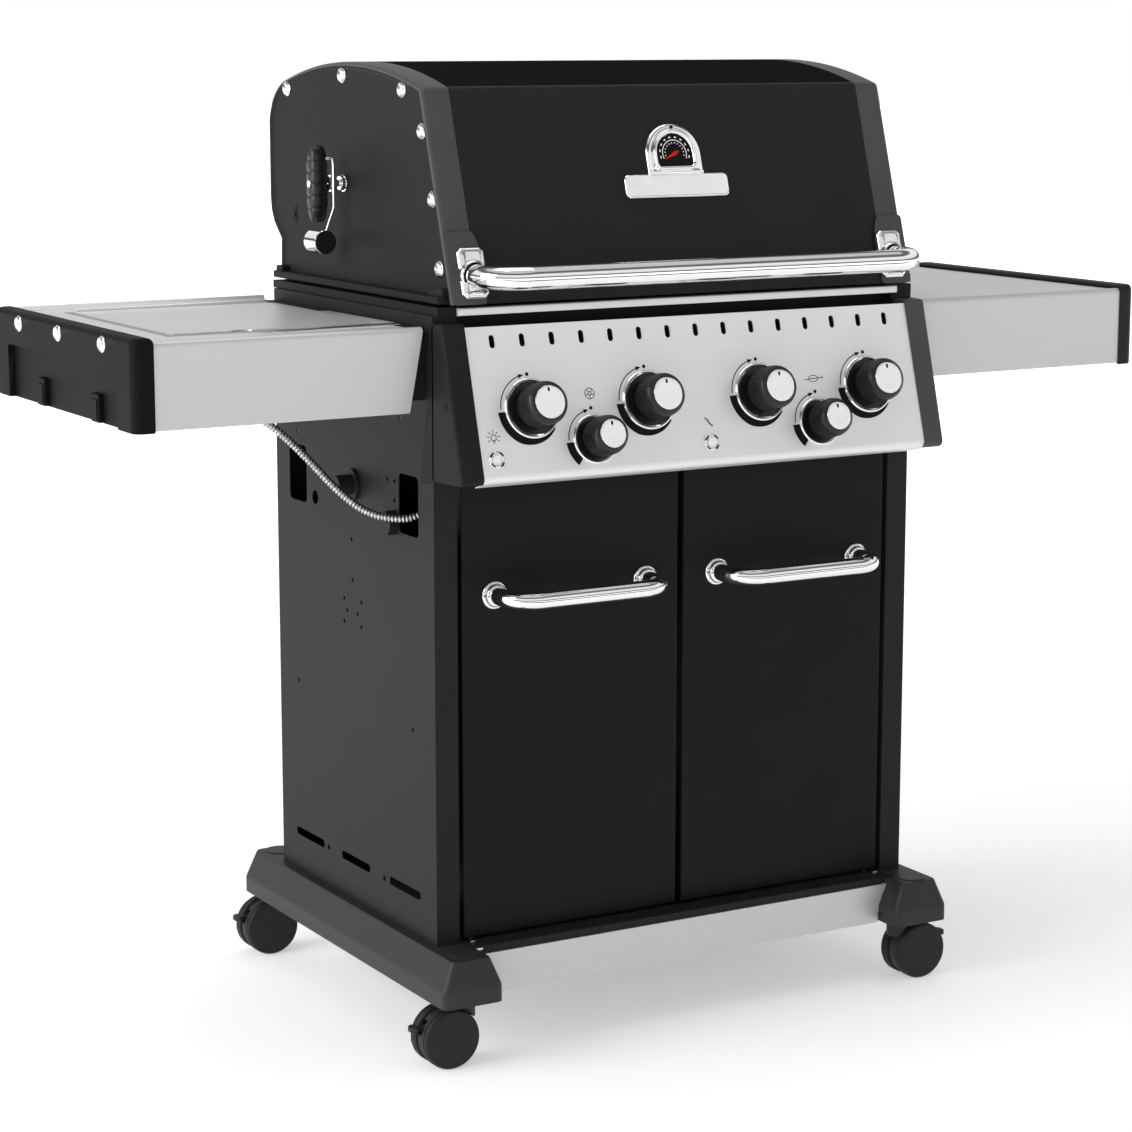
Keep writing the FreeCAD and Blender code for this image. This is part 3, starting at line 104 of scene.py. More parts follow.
def skin(name, colour, metallic=0.0, rough=0.5, grain=1500, depth=0.02, mottle=0.08, patch=14,
         stretch=(1, 1, 1), specular=0.5, smudge=0.05):
    """A procedural finish: fine grain as bump, patches in colour and in roughness."""
    made = bpy.data.materials.new(name)
    made.use_nodes = True
    tree = made.node_tree
    shader = tree.nodes["Principled BSDF"]
    put(shader, {"Metallic": metallic, "Specular IOR Level": specular})
    texture = add_node(tree, "TexCoord")
    mapping = add_node(tree, "Mapping")
    put(mapping, {"Scale": stretch})
    link(tree, texture.outputs["Object"], mapping.inputs["Vector"])

    fine = add_node(tree, "TexNoise")
    put(fine, {"Scale": grain, "Detail": 3})
    link(tree, mapping.outputs["Vector"], fine.inputs["Vector"])
    bump = add_node(tree, "Bump")
    put(bump, {"Strength": depth, "Distance": 0.002})
    link(tree, fine.outputs["Fac"], bump.inputs["Height"])
    link(tree, bump.outputs["Normal"], shader.inputs["Normal"])

    wide = add_node(tree, "TexNoise")
    put(wide, {"Scale": patch, "Detail": 5, "Roughness": 0.6})
    link(tree, mapping.outputs["Vector"], wide.inputs["Vector"])
    tones = add_node(tree, "ValToRGB")
    dark = [channel * (1 - mottle) for channel in colour]
    light = [min(1, channel * (1 + mottle)) for channel in colour]
    for element, place, tone in zip(tones.color_ramp.elements, (0.3, 0.7), (dark, light)):
        element.position = place
        element.color = (*tone, 1)
    link(tree, wide.outputs["Fac"], tones.inputs["Fac"])
    link(tree, tones.outputs["Color"], shader.inputs["Base Color"])
    gloss = add_node(tree, "MapRange")
    put(gloss, {"To Min": max(0.01, rough - smudge), "To Max": rough + smudge})
    link(tree, wide.outputs["Fac"], gloss.inputs["Value"])
    link(tree, gloss.outputs["Result"], shader.inputs["Roughness"])
    return made


def brushed(name, colour, rough=0.34, contrast=0.03, metallic=1):
    """Brushed steel: long fine streaks along x in colour, roughness and bump."""
    return skin(name, colour, metallic=metallic, rough=rough, grain=2.2, mottle=contrast, patch=1.4,
                stretch=(4, 900, 900), smudge=0.06)


def plain(value):
    return (value, value, value * 1.01)


SKINS = {}


def add_skin(slot, name, colour, make=skin, **looks):
    """Keeps a finish under its own name, with the material slot that it belongs to."""
    SKINS[name] = (make(name, colour, **looks), slot)


def add_brushed(slot, name, colour, **looks):
    add_skin(slot, name, colour, brushed, **looks)


# Painted shade: the doors get a darker copy of the cabinet's black sheet than the sides, standing in for the dimmer
# light on the front.
add_skin("black_sheet", "door_black", plain(0.0085), rough=0.42, specular=0.12, depth=0.03)
add_skin("black_sheet", "side_black", plain(0.017), rough=0.5, specular=0.12, depth=0.05)
add_skin("black_sheet", "lid_black", plain(0.017), rough=0.5, specular=0.1, depth=0.02)
# Painted shade: the top of the lid's sheet gets a darker, duller copy of the black that its front has.
add_skin("black_sheet", "lid_back_black", plain(0.0115), rough=0.7, specular=0.0, depth=0.02)
add_skin("black_cast", "cast_black", plain(0.0138), rough=0.55, specular=0.1, grain=900, depth=0.09)
# Painted light: a lighter copy of the cast black for the lid's front rim and pads and for the right panel end, faces
# that the lamps leave darker.
add_skin("black_cast", "cast_rim", plain(0.056), rough=0.5, specular=0.3, grain=900, depth=0.09)
# Painted shade and painted light: the left shelf end, lit by the key lamp, gets a darker copy of the moulding's
# black, and the right end and its hooks a lighter one.
add_skin("black_moulding", "end_black", plain(0.0062), rough=0.5, specular=0.05, grain=1100, depth=0.08)
add_skin("black_moulding", "end_grey", plain(0.0155), rough=0.5, specular=0.15, grain=1100, depth=0.08)
add_skin("black_moulding", "rail", plain(0.0255), rough=0.46, specular=0.3, grain=1100, depth=0.08)
add_skin("black_moulding", "moulded", plain(0.021), rough=0.46, specular=0.28, grain=1100, depth=0.08)
add_skin("black_moulding", "grip", plain(0.0078), rough=0.36, specular=0.42, grain=1600, depth=0.05)
add_brushed("brushed_stainless", "stainless", (0.80, 0.81, 0.82), metallic=0.45, rough=0.4)
add_brushed("brushed_stainless", "shelf_steel", (0.72, 0.73, 0.742), metallic=0.45, rough=0.42)
# Painted shade: a darker copy of the shelf steel for the shelves' front faces and the kick plate.
add_brushed("brushed_stainless", "face_steel", (0.585, 0.597, 0.61), metallic=0.4, rough=0.42, contrast=0.02)
add_brushed("brushed_stainless", "hob_steel", (0.82, 0.83, 0.84), metallic=0.5, rough=0.3)
add_skin("bright_chrome", "satin", (0.8, 0.805, 0.81), metallic=1, rough=0.2, grain=900, depth=0.01,
         mottle=0.03, patch=30)
add_brushed("brushed_stainless", "cap_steel", (0.95, 0.95, 0.95), rough=0.26)
add_skin("bright_chrome", "chrome", (0.88, 0.885, 0.89), metallic=1, rough=0.06, grain=300, depth=0.002,
         mottle=0.02, patch=30, smudge=0.025)
add_skin("iron", "iron", plain(0.02), rough=0.62, grain=700, depth=0.3)
add_brushed("plain_steel", "steel", (0.42, 0.42, 0.42), rough=0.42)
add_skin("brass_fittings", "brass", (0.55, 0.4, 0.16), metallic=1, rough=0.35, grain=800)
add_skin("hose_metal", "hose", (0.5, 0.5, 0.51), metallic=1, rough=0.2, grain=900, mottle=0.45, patch=260)
add_skin("caster_rubber", "tyre", plain(0.017), rough=0.55, specular=0.25, grain=1200, depth=0.06)
add_skin("dial_black", "dial", plain(0.004), rough=0.3, specular=0.1)
# Black print; also painted shade as dark discs and slots in holes, vents and round the lid's screw heads.
add_skin("dial_black", "ink", plain(0.006), rough=0.6, specular=0.1)
add_skin("dial_black", "white_ink", plain(0.85), rough=0.5)
add_skin("bright_chrome", "pale_plate", (0.92, 0.92, 0.93), metallic=0.4, rough=0.35, grain=900)
add_skin("needle_red", "red", (0.62, 0.008, 0.012), rough=0.4, specular=0.2)


# --- shapes: (vertices, faces)


def join(*shapes):
    vertices, faces = [], []
    for more_vertices, more_faces in shapes:
        start = len(vertices)
        vertices += list(more_vertices)
        faces += [[index + start for index in face] for face in more_faces]
    return vertices, faces


def shift(shape, x=0, y=0, z=0):
    return [(vx + x, vy + y, vz + z) for vx, vy, vz in shape[0]], shape[1]


def flip(shape):
    """The same shape on the other side of the middle plane."""
    return [(-x, y, z) for x, y, z in shape[0]], [list(reversed(face)) for face in shape[1]]


def sided(shape, side):
    """A shape drawn on the right (side 1), or flipped to the left (side -1)."""
    return shape if side > 0 else flip(shape)


def paired(shape):
    return join(shape, flip(shape))


def moved(shape, matrix):
    return [tuple(matrix @ Vector(v)) for v in shape[0]], shape[1]


def spread(shape, count, axis):
    """Copies of a shape, evenly round an axis."""
    return join(*(moved(shape, Matrix.Rotation(2 * math.pi * n / count, 4, axis)) for n in range(count)))


def block(x, y, z):
    corners = [(a, b, c) for c in z for b in y for a in x]
    faces = [(0, 2, 3, 1), (4, 5, 7, 6), (0, 1, 5, 4), (2, 6, 7, 3), (0, 4, 6, 2), (1, 3, 7, 5)]
    return corners, faces


def loft(rings, caps=(True, True), closed=True):
    """Skins rings of equal count; a ring is a list of points."""
    count = len(rings[0])
    vertices = [tuple(point) for ring in rings for point in ring]
    faces = []
    for level in range(len(rings) - 1):
        for n in range(count if closed else count - 1):
            after = (n + 1) % count
            low, high = level * count, (level + 1) * count
            faces.append((low + n, low + after, high + after, high + n))
    if caps[0]:
        faces.append(tuple(reversed(range(count))))
    if caps[1]:
        top = (len(rings) - 1) * count
        faces.append(tuple(range(top, top + count)))
    return vertices, faces


def open_loft(rings):
    """A skin over open lines, without caps."""
    return loft(rings, (False, False), closed=False)


def to_axis(along, r, angle, h):
    u, v = r * math.cos(angle), r * math.sin(angle)
    return {"z": (u, v, h), "x": (h, u, v), "y": (v, h, u)}[along]


def lathe(profile, along="z", count=48, wave=None):
    """Turns (radius, height) points round an axis; wave may change a radius by angle and row."""
    rings = []
    for row, (r, h) in enumerate(profile):
        ring = []
        for n in range(count):
            angle = 2 * math.pi * n / count
            ring.append(to_axis(along, r + (wave(row, n) if wave else 0), angle, h))
        rings.append(ring)
    return loft(rings)


def dome(radius, height, base, along, count):
    """A low domed head."""
    profile = [(radius, base), (radius, base + height * 0.3)]
    for step in range(1, 5):
        angle = math.pi / 2 * step / 4.6
        profile.append((radius * math.cos(angle), base + height * (0.3 + 0.7 * math.sin(angle))))
    return lathe(profile, along, count)


def rounded(outline, radius, steps=5):
    """An outline with its corners rounded; radius may be one number or one for each corner."""
    radii = radius if isinstance(radius, (list, tuple)) else [radius] * len(outline)
    result = []
    for n, here in enumerate(outline):
        p = Vector(here)
        a = Vector(outline[n - 1]) - p
        b = Vector(outline[(n + 1) % len(outline)]) - p
        if radii[n] <= 0:
            result.append(tuple(p))
            continue
        half = a.angle(b) / 2
        reach = min(radii[n] / math.tan(half), a.length * 0.49, b.length * 0.49)
        r = reach * math.tan(half)
        centre = p + (a.normalized() + b.normalized()).normalized() * (r / math.sin(half))
        start = p + a.normalized() * reach - centre
        finish = p + b.normalized() * reach - centre
        sweep = start.angle(finish)
        sign = 1 if start.x * finish.y - start.y * finish.x > 0 else -1
        for step in range(steps + 1):
            turn = Matrix.Rotation(sign * sweep * step / steps, 2)
            result.append(tuple(centre + turn @ start))
    return result


def inset(outline, distance, closed=True):
    """An outline drawn in by a distance; it runs anticlockwise."""
    result = []
    count = len(outline)
    for n in range(count):
        p = Vector(outline[n])
        before = Vector(outline[n - 1]) if closed or n else None
        after = Vector(outline[(n + 1) % count]) if closed or n < count - 1 else None
        one = (p - before).normalized() if before is not None else None
        two = (after - p).normalized() if after is not None else None
        one, two = one or two, two or one
        normal_one = Vector((-one.y, one.x))
        normal_two = Vector((-two.y, two.x))
        middle = (normal_one + normal_two).normalized()
        stretch = 1 / max(0.5, middle.dot(normal_one))
        result.append(tuple(p + middle * distance * stretch))
    return result


def plate(outline, low, high, plane="xy", edge=0, steps=3):
    """An outline with thickness; edge rounds the border of its high face."""
    def lay(points, level):
        return [{"xy": (u, v, level), "yz": (level, u, v), "xz": (u, level, v)}[plane] for u, v in points]
    rings = [lay(outline, low)]
    if edge:
        sense = 1 if high > low else -1
        for step in range(steps + 1):
            angle = math.pi / 2 * step / steps
            drawn_in = inset(outline, edge * (1 - math.cos(angle)))
            rings.append(lay(drawn_in, high - sense * edge * (1 - math.sin(angle))))
    else:
        rings.append(lay(outline, high))
    return loft(rings)


def raised(outline, levels, caps=(True, True)):
    """An outline built up in steps of (height, drawn in)."""
    return loft([[(u, v, z) for u, v in inset(outline, drawn_in)] for z, drawn_in in levels], caps)


def rectangle(u0, u1, v0, v1, radius=0, steps=5):
    corners = [(u0, v0), (u1, v0), (u1, v1), (u0, v1)]
    return rounded(corners, radius, steps) if radius else corners


def bar(points, radius, bends, count, bend_steps=14):
    """A round tube along straight runs and tangent bends."""
    points = [Vector(p) for p in points]
    path = [points[0]]
    for before, corner, after, bend in zip(points, points[1:], points[2:], bends):
        a, b = (before - corner).normalized(), (after - corner).normalized()
        half = a.angle(b) / 2
        reach = bend / math.tan(half)
        centre = corner + (a + b).normalized() * (bend / math.sin(half))
        start, finish = corner + a * reach - centre, corner + b * reach - centre
        axis = start.cross(finish).normalized()
        sweep = start.angle(finish)
        for step in range(bend_steps + 1):
            path.append(centre + Matrix.Rotation(sweep * step / bend_steps, 3, axis) @ start)
    path.append(points[-1])
    return follow(path, lambda n: radius, count)


def follow(path, radius_at, count):
    """A tube round a line of points."""
    rings = []
    side = None
    for n, point in enumerate(path):
        direction = (path[min(n + 1, len(path) - 1)] - path[max(n - 1, 0)]).normalized()
        if side is None:
            side = direction.orthogonal().normalized()
        side = (side - direction * side.dot(direction)).normalized()
        other = direction.cross(side)
        r = radius_at(n)
        ring = []
        for k in range(count):
            angle = 2 * math.pi * k / count
            ring.append(point + side * r * math.cos(angle) + other * r * math.sin(angle))
        rings.append(ring)
    return loft(rings)


PRINT = 0.15


def sector(x, y, outer, inner, start, finish, level=PRINT, steps=24, taper=None):
    """A flat piece of a ring on the xy plane, angles in degrees; taper is its outer radius at the end."""
    outer_points, inner_points = [], []
    for step in range(steps + 1):
        t = step / steps
        angle = math.radians(start + (finish - start) * t)
        reach = outer if taper is None or t < 0.45 else outer + (taper - outer) * (t - 0.45) / 0.55
        outer_points.append((x + reach * math.cos(angle), y + reach * math.sin(angle), level))
        inner_points.append((x + inner * math.cos(angle), y + inner * math.sin(angle), level))
    return open_loft([inner_points, outer_points])


def flat(outline, level):
    return [(u, v, level) for u, v in outline], [tuple(range(len(outline)))]


def disc(x, y, radius, level, count=20):
    turns = [2 * math.pi * n / count for n in range(count)]
    return flat([(x + radius * math.cos(a), y + radius * math.sin(a)) for a in turns], level)


# --- pieces


def piece(name, body, finish, shape, where=CART, sheet=0, angle=32, replaces=(), weld=True):
    """Makes a mesh object that rides on a CAD body."""
    mesh = bpy.data.meshes.new(name)
    mesh.from_pydata([where @ Vector(v) for v in shape[0]], [], shape[1])
    editing = bmesh.new()
    editing.from_mesh(mesh)
    if weld:
        bmesh.ops.remove_doubles(editing, verts=editing.verts, dist=2e-6)
    bmesh.ops.recalc_face_normals(editing, faces=editing.faces)
    editing.to_mesh(mesh)
    editing.free()
    mesh.polygons.foreach_set("use_smooth", [True] * len(mesh.polygons))
    thing = bpy.data.objects.new(name, mesh)
    SCENE.collection.objects.link(thing)
    if sheet:
        thick = thing.modifiers.new("thickness", "SOLIDIFY")
        thick.thickness = sheet / 1000
        thick.offset = -1
    mesh.set_sharp_from_angle(angle=math.radians(angle))
    level = thing.modifiers.new("flat_faces", "WEIGHTED_NORMAL")
    level.keep_sharp = True
    level.weight = 80
    material, slot = SKINS[finish]
    mesh.materials.append(material)
    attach(thing, body)
    if replaces:
        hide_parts(*replaces)
    return thing


def finish_node(name, finish):
    """A CAD node that keeps its shape gets its finish."""
    mesh = NODES[name].data
    mesh.polygons.foreach_set("use_smooth", [True] * len(mesh.polygons))
    mesh.set_sharp_from_angle(angle=math.radians(25))
    mesh.materials.clear()
    mesh.materials.append(SKINS[finish][0])


# Nodes that keep their CAD shape, by finish.
for finish, names in {
    # The kick plate takes the darker copy of the shelf steel: painted shade.
    "face_steel": "kick_plate",
    "side_black": "cabinet_floor side_panels back_panel cabinet_fittings",
    "cast_black": "cookbox",
    "steel": "main_burners flame_tamers rear_burner side_burner grease_tray",
    "iron": "cooking_grids",
    "brass": "gas_manifold",
    "stainless": "control_panel",
    "chrome": "spit_forks spit_rod",
    "hob_steel": "side_burner_lid",
    "dial": "thermometer_dial",
}.items():
    for node_name in names.split():
        finish_node(node_name, finish)
for end in ("front", "rear"):
    for word in ("left", "right"):
        finish_node(f"caster_swivel_{end}_{word}", "moulded")


# --- gas hose

ROUTE = (
    (-505, 283, 790), (-482, 251, 783), (-458, 218, 767), (-431, 180, 731), (-407, 147, 693),
    (-383, 114, 666), (-358, 80, 660), (-336, 63, 664), (-319, 55, 680), (-308, 53, 699),
    (-302, 50.5, 719), (-299, 45, 738), (-298, 35.6, 751.2), (-297.6, 22.4, 760.3), (-298, 9, 764.1),
)


def spline_points(route):
    """Points of a smooth line whose control points are the route's."""
    curve = bpy.data.curves.new("route", "CURVE")
    curve.dimensions = "3D"
    curve.resolution_u = 40
    line = curve.splines.new("NURBS")
    line.points.add(len(route) - 1)
    for point, place in zip(line.points, route):
        point.co = (*at(*place), 1)
    line.order_u = 3
    line.use_endpoint_u = True
    holder = bpy.data.objects.new("route", curve)
    SCENE.collection.objects.link(holder)
    mesh = bpy.data.meshes.new_from_object(holder)
    points = [v.co.copy() for v in mesh.vertices]
    bpy.data.objects.remove(holder)
    bpy.data.meshes.remove(mesh)
    return points


def evenly(points, step):
    """Points a step apart along a line, and its length."""
    spaced, travelled, due = [points[0]], 0.0, step
    for a, b in zip(points, points[1:]):
        run = (b - a).length
        while due <= travelled + run:
            spaced.append(a.lerp(b, (due - travelled) / run))
            due += step
        travelled += run
    return spaced, travelled


# The black bosses and a bolt on the cabinet's sides.
side_bolts = join(*(shift(dome(r, 3.2, 344.9, "x", 6), 0, y, z) for r, y, z in
                    ((7.5, 379, 734), (7.5, 86, 785), (6, 18, 768))))
piece("side_bolts", "cart", "moulded", paired(side_bolts), angle=20)

HOSE_RADIUS, HOSE_STEP, PER_RIB = 0.005, 0.00065, 7
hose_line = spline_points(ROUTE)
hose_path, hose_length = evenly(hose_line, HOSE_STEP)


def hose_radius(n):
    ridge = abs(math.sin(math.pi * n / PER_RIB))
    return HOSE_RADIUS * (0.66 + 0.34 * ridge ** 0.7)


hose_piece = piece("hose_corrugated", "cart", "hose", follow(hose_path, hose_radius, 20),
                   where=Matrix.Identity(4), replaces=["gas_hose"], angle=60, weld=False)


# --- base


def beam():
    """A moulded rail with sloping sides and soft edges."""
    low = rectangle(294, 376, -72, 520, 9)
    high = rectangle(308.5, 361, -66, 514, 8)

    def between(t):
        return [tuple(Vector(a).lerp(Vector(b), t)) for a, b in zip(low, high)]
    rings = [[(u, v, z) for u, v in points] for z, points in (
        (84, low), (102, low), (104.5, between(0.01)), (108, between(0.09)), (138.4, between(0.93)),
        (140.3, inset(high, 0.6)), (141, inset(high, 2.6)),
    )]
    return loft(rings)


cap = [shift(lathe([(20, 141), (20, 141.7), (19, 142.2), (15.4, 142.2), (15, 141.8), (14.6, 142.2)]), 335, y)
       for y in (-44, 492)]
rail_shape = join(beam(), *cap)
piece("base_rails", "cart", "rail", paired(rail_shape), replaces=["base_beams"], angle=28)

bolt = join(*(shift(dome(4.5, 3, 0, "y", 12), x, -34.2, 93) for x in (-296, 296)))
piece("kick_bolts", "cart", "moulded", bolt)

STEM_X, AXLE_X, WHEEL_RADIUS, WHEEL_OUT = 328, 353, 37.5, 22

# A wheel's (radius, depth) line from its outer face to its inner one.
WHEEL = [(0, 0.1), (20, 0.1), (32.4, 0.1), (33, 0.5), (33.5, 0.2), (34.8, 0.4), (36.4, 1.4), (37.4, 3.4),
         (37.5, 5.4), (36.5, 6), (36.5, 7), (37.5, 7.6), (37.5, 13.6), (36.6, 15.4), (35, 15.9), (12, 15.9),
         (11, 14.6), (0, 14.6)]


def caster_wheels(x, y):
    outer = [(r, y - WHEEL_OUT + h) for r, h in WHEEL]
    inner = [(r, y + WHEEL_OUT - h) for r, h in WHEEL]
    slots = spread(block((-2.6, 2.6), (y + 8.6, y + 19), (36.9, 37.45)), 18, "Y")
    return shift(join(lathe(outer, "y", 64), lathe(inner, "y", 64), slots), x, 0, WHEEL_RADIUS)


def caster_pedal(x, y, side):
    arm = rectangle(0, 27, -4.3, 4.3, 1)
    tab = rounded([(25.6, -9.3), (31, -9.3), (34.8, -4), (34.8, 4), (31, 9.3), (25.6, 9.3)], 2.4)
    shape = join(plate(arm, -2.4, 2.4, edge=1), plate(tab, -2.4, 3.4, edge=1.2),
                 lathe([(4.9, -4.4), (4.9, 4.4)], "y", 20),
                 block((25, 26.2), (-7, 7), (3.3, 3.9)), block((28, 29.2), (-7, 7), (3.3, 3.9)))
    shape = sided(shape, side)
    return shift(shape, x + side * 14, y, 52.5)


def swivel_ring(y, side):
    """The ring between a caster's stem and the rail."""
    ring = lathe([(15.4, 0), (16.8, 0.6), (16.8, 2.6), (15.4, 3.2)], "z", 32)
    return shift(ring, side * STEM_X, y, 77)


for end, y in (("front", -28), ("rear", 498)):
    for word, side in SIDES:
        tag = f"{end}_{word}"
        piece(f"caster_tyres_{tag}", f"caster_wheels_{tag}", "tyre", caster_wheels(side * AXLE_X, y),
              replaces=[f"caster_wheels_{tag}"], angle=40)
        piece(f"caster_pedal_{tag}", f"caster_brake_{tag}", "moulded", caster_pedal(side * AXLE_X, y, side),
              replaces=[f"caster_brake_{tag}"], angle=40)
        piece(f"caster_ring_{tag}", f"caster_swivel_{tag}", "moulded", swivel_ring(y, side))


# --- doors


DOOR_INNER, DOOR_OUTER, DOOR_LOW, DOOR_HIGH = 4, 310.5, 145, 712
PULL_INNER, PULL_OUTER, PULL_HEIGHT, PULL_OUT, PULL_RADIUS = 53, 267, 572, 60, 11


def door_pan(side):
    """A pressed pan, open behind, with a soft border."""
    inner, outer = sorted((side * DOOR_INNER, side * DOOR_OUTER))
    rings = []
    for y, drawn_in in ((18, 0), (2.2, 0), (0.9, 0.5), (0.15, 1.5), (0, 2.8), (0, 9), (0, 30)):
        face = rectangle(inner + drawn_in, outer - drawn_in, DOOR_LOW + drawn_in, DOOR_HIGH - drawn_in, 2.2, 3)
        rings.append([(u, y, v) for u, v in face])
    return loft(rings, caps=(False, True))


def pull(side):
    """A door's bent tube and its two rosettes."""
    inner, outer = side * PULL_INNER, side * PULL_OUTER
    line = [(inner, -9), (inner, -PULL_OUT), (outer, -PULL_OUT), (outer, -9)]
    tube = bar([(x, y, PULL_HEIGHT) for x, y in line], PULL_RADIUS, [36, 36], 48)
    rose = [(17.5, 0), (17.5, -2), (16.9, -3.2), (15.4, -4), (14.8, -4), (14.6, -3.4), (14.2, -3.4), (14, -5),
            (13.8, -7.2), (13, -8.6), (12, -9), (11, -9)]
    roses = [shift(lathe(rose, "y", 48), x, 0, PULL_HEIGHT) for x in (inner, outer)]
    return join(tube, *roses)


for word, side in SIDES:
    # The pans take the darker copy of the black sheet: painted shade.
    piece(f"door_pan_{word}", f"door_{word}", "door_black", door_pan(side), sheet=1.4,
          replaces=[f"door_{word}"], angle=40)
    piece(f"door_pull_{word}", f"door_{word}", "chrome", pull(side), replaces=[f"door_handle_{word}"], angle=40)
    pin = lathe([(3.5, 141.2), (3.5, 146.5)], "z", 20)
    piece(f"door_pin_{word}", f"door_{word}", "chrome", shift(pin, side * 297, 9))
    tip = lathe([(0.5, 144.4), (3.2, 144.4), (3.6, 143.9), (3.6, 142.8), (3, 142.6)], "z", 20)
    piece(f"door_tip_{word}", "cart", "chrome", shift(tip, side * 303, -7))


# --- control panel

LARGE = [(x, -101) for x in (-244, -81.2, 81.2, 244)]
SMALL = [(x, -143.5) for x in (-163, 163)]
BUTTONS = [(-300, -159), (0, -159)]


def knob_grip(radius, height, cap_radius):
    """A barrel with staggered ribs and a rounded nose."""
    base, nose = 8, height - 9
    rows = [(radius - 4, base), (radius - 1.9, base), (radius - 1.7, base + 2.4), (radius - 1.0, base + 3)]
    bands = 5
    ribbed = {}
    for band in range(bands):
        low = base + 4 + (nose - base - 5) * band / bands
        high = base + 4 + (nose - base - 5) * (band + 1) / bands
        for share in (0.1, 0.3, 0.7, 0.9):
            z = low + (high - low) * share
            r = radius - 0.75 + 0.75 * (z - base) / (nose - base)
            ribbed[len(rows)] = band
            rows.append((r, z))
        rows.append((r - 0.45, high))
    rows += [(radius - 0.1, nose - 0.4), (radius, nose + 0.8), (radius - 0.3, nose + 3),
             (radius - 1.6, nose + 6), (cap_radius + 1.2, nose + 8), (cap_radius + 0.1, height - 0.6),
             (cap_radius, height - 1.6)]

    def wave(row, n):
        if row not in ribbed:
            return 0
        return 0.9 * (1 if (n + 2 * (ribbed[row] % 2)) % 4 < 2 else -1) * (0.6 if n % 2 else 1)
    return lathe(rows, "z", 192, wave)


def knob_cap(radius, height):
    """A turned metal face with a polished border."""
    return lathe([(radius, height - 2.4), (radius, height - 0.9), (radius - 0.5, height - 0.3),
                  (radius - 1.3, height - 0.15), (radius - 1.8, height - 0.5), (radius * 0.6, height - 0.36),
                  (radius * 0.25, height - 0.3), (0.4, height - 0.28)], "z", 96)


# A knob's radius, height and cap radius.
LARGE_KNOB, SMALL_KNOB = (26, 48, 19.9), (23.3, 45, 17.5)
knobs = [(f"knob_burner_{n}", place, LARGE_KNOB) for n, place in enumerate(LARGE, 1)]
knobs += [(f"knob_auxiliary_{n}", place, SMALL_KNOB) for n, place in enumerate(SMALL, 1)]
for name, (x, y), (radius, height, cap_radius) in knobs:
    here = PANEL @ Matrix.Translation((x, y, 0))
    stem = lathe([(4, -32), (4, 9)], "z", 24)
    piece(f"{name}_grip", name, "grip", knob_grip(radius, height, cap_radius), where=here, replaces=[name], angle=50)
    piece(f"{name}_stem", name, "steel", stem, where=here)
    piece(f"{name}_cap", name, "cap_steel", knob_cap(cap_radius, height), where=here, angle=50)
    mark = rounded([(-1.3, 0), (1.3, 0), (1.3, 5), (-1.3, 5)], 1.2, 4)
    mark = [(u, v + cap_radius - 7.6) for u, v in mark]
    piece(f"{name}_mark", name, "ink", plate(mark, height - 0.6, height - 0.1), where=here)


def bezel(x, y, outer, inner):
    rows = [(outer, 0), (outer, 1.2), (outer - 0.5, 2.6), (outer - 1.4, 3.7), (outer - 2.4, 4), (outer - 3.2, 3.5),
            (inner + 1.2, 1.7), (inner + 0.4, 1.5), (inner, 1.1), (inner, 0.1)]
    return shift(lathe(rows, "z", 80), x, y)


rings = [bezel(x, y, 37, 31) for x, y in LARGE] + [bezel(x, y, 31, 26) for x, y in SMALL]
rings += [shift(lathe([(10.5, 0), (10.5, 0.8), (9.8, 1.9), (8.8, 2.4), (7.6, 2.4), (6.7, 1.8), (6.4, 0.6)], "z", 48),
                x, y) for x, y in BUTTONS]
piece("knob_rings", "cart", "chrome", join(*rings), where=PANEL, replaces=["knob_bezels"], angle=50)

wells = [shift(lathe([(outer, 0.05), (outer, 1.4), (middle, 1.0), (7.2, 0.9), (7.0, 0.1)], "z", 48), x, y)
         for spots, outer, middle in ((LARGE, 31.2, 14), (SMALL, 26.2, 12)) for x, y in spots]
piece("knob_wells", "cart", "grip", join(*wells), where=PANEL, angle=50)

for word, (x, y) in zip(("light", "ignition"), BUTTONS):
    face = lathe([(4, -20), (4, -2), (6, -2), (6, 2.2), (5.5, 2.9), (4.6, 3), (1, 2.8)], "z", 40)
    piece(f"button_{word}_face", f"button_{word}", "cap_steel", shift(face, x, y), where=PANEL,
          replaces=[f"button_{word}"], angle=40)


def arrow_head(x, y, angle, size):
    """A small solid triangle that points along an angle."""
    turn = math.radians(angle)
    tip = (x + size * math.cos(turn), y + size * math.sin(turn))
    sides = [(x + 0.36 * size * math.cos(turn + s * math.pi / 2), y + 0.36 * size * math.sin(turn + s * math.pi / 2))
             for s in (1, -1)]
    return flat([tip, *sides], PRINT)


def stroke(points, width, level=PRINT):
    """A thin printed line."""
    shapes = []
    for (ax, ay), (bx, by) in zip(points, points[1:]):
        run = math.hypot(bx - ax, by - ay)
        nx, ny = -(by - ay) / run * width / 2, (bx - ax) / run * width / 2
        shapes.append(flat([(ax + nx, ay + ny), (bx + nx, by + ny), (bx - nx, by - ny), (ax - nx, ay - ny)], level))
    return join(*shapes)


def dial_print(x, y, dot_y, arc_radius, crescent):
    outer, inner, finish, taper = crescent
    head = math.radians(104)
    hx, hy = x + arc_radius * math.cos(head), y + arc_radius * math.sin(head)
    return join(
        disc(x, dot_y, 2.3, PRINT),
        sector(x, y, arc_radius + 0.65, arc_radius - 0.65, 104, 178),
        arrow_head(hx - 2, hy - 0.5, 14, 7.5),
        sector(x, y, outer, inner, 183, finish, steps=30, taper=taper),
    )


def spoke(x, y, angle, near, far):
    """The ends of a line that runs out from a point; the angle is in degrees."""
    turn = math.radians(angle)
    return [(x + r * math.cos(turn), y + r * math.sin(turn)) for r in (near, far)]


def circle_line(x, y, radius, width):
    return sector(x, y, radius + width / 2, radius - width / 2, 0, 360, steps=20)


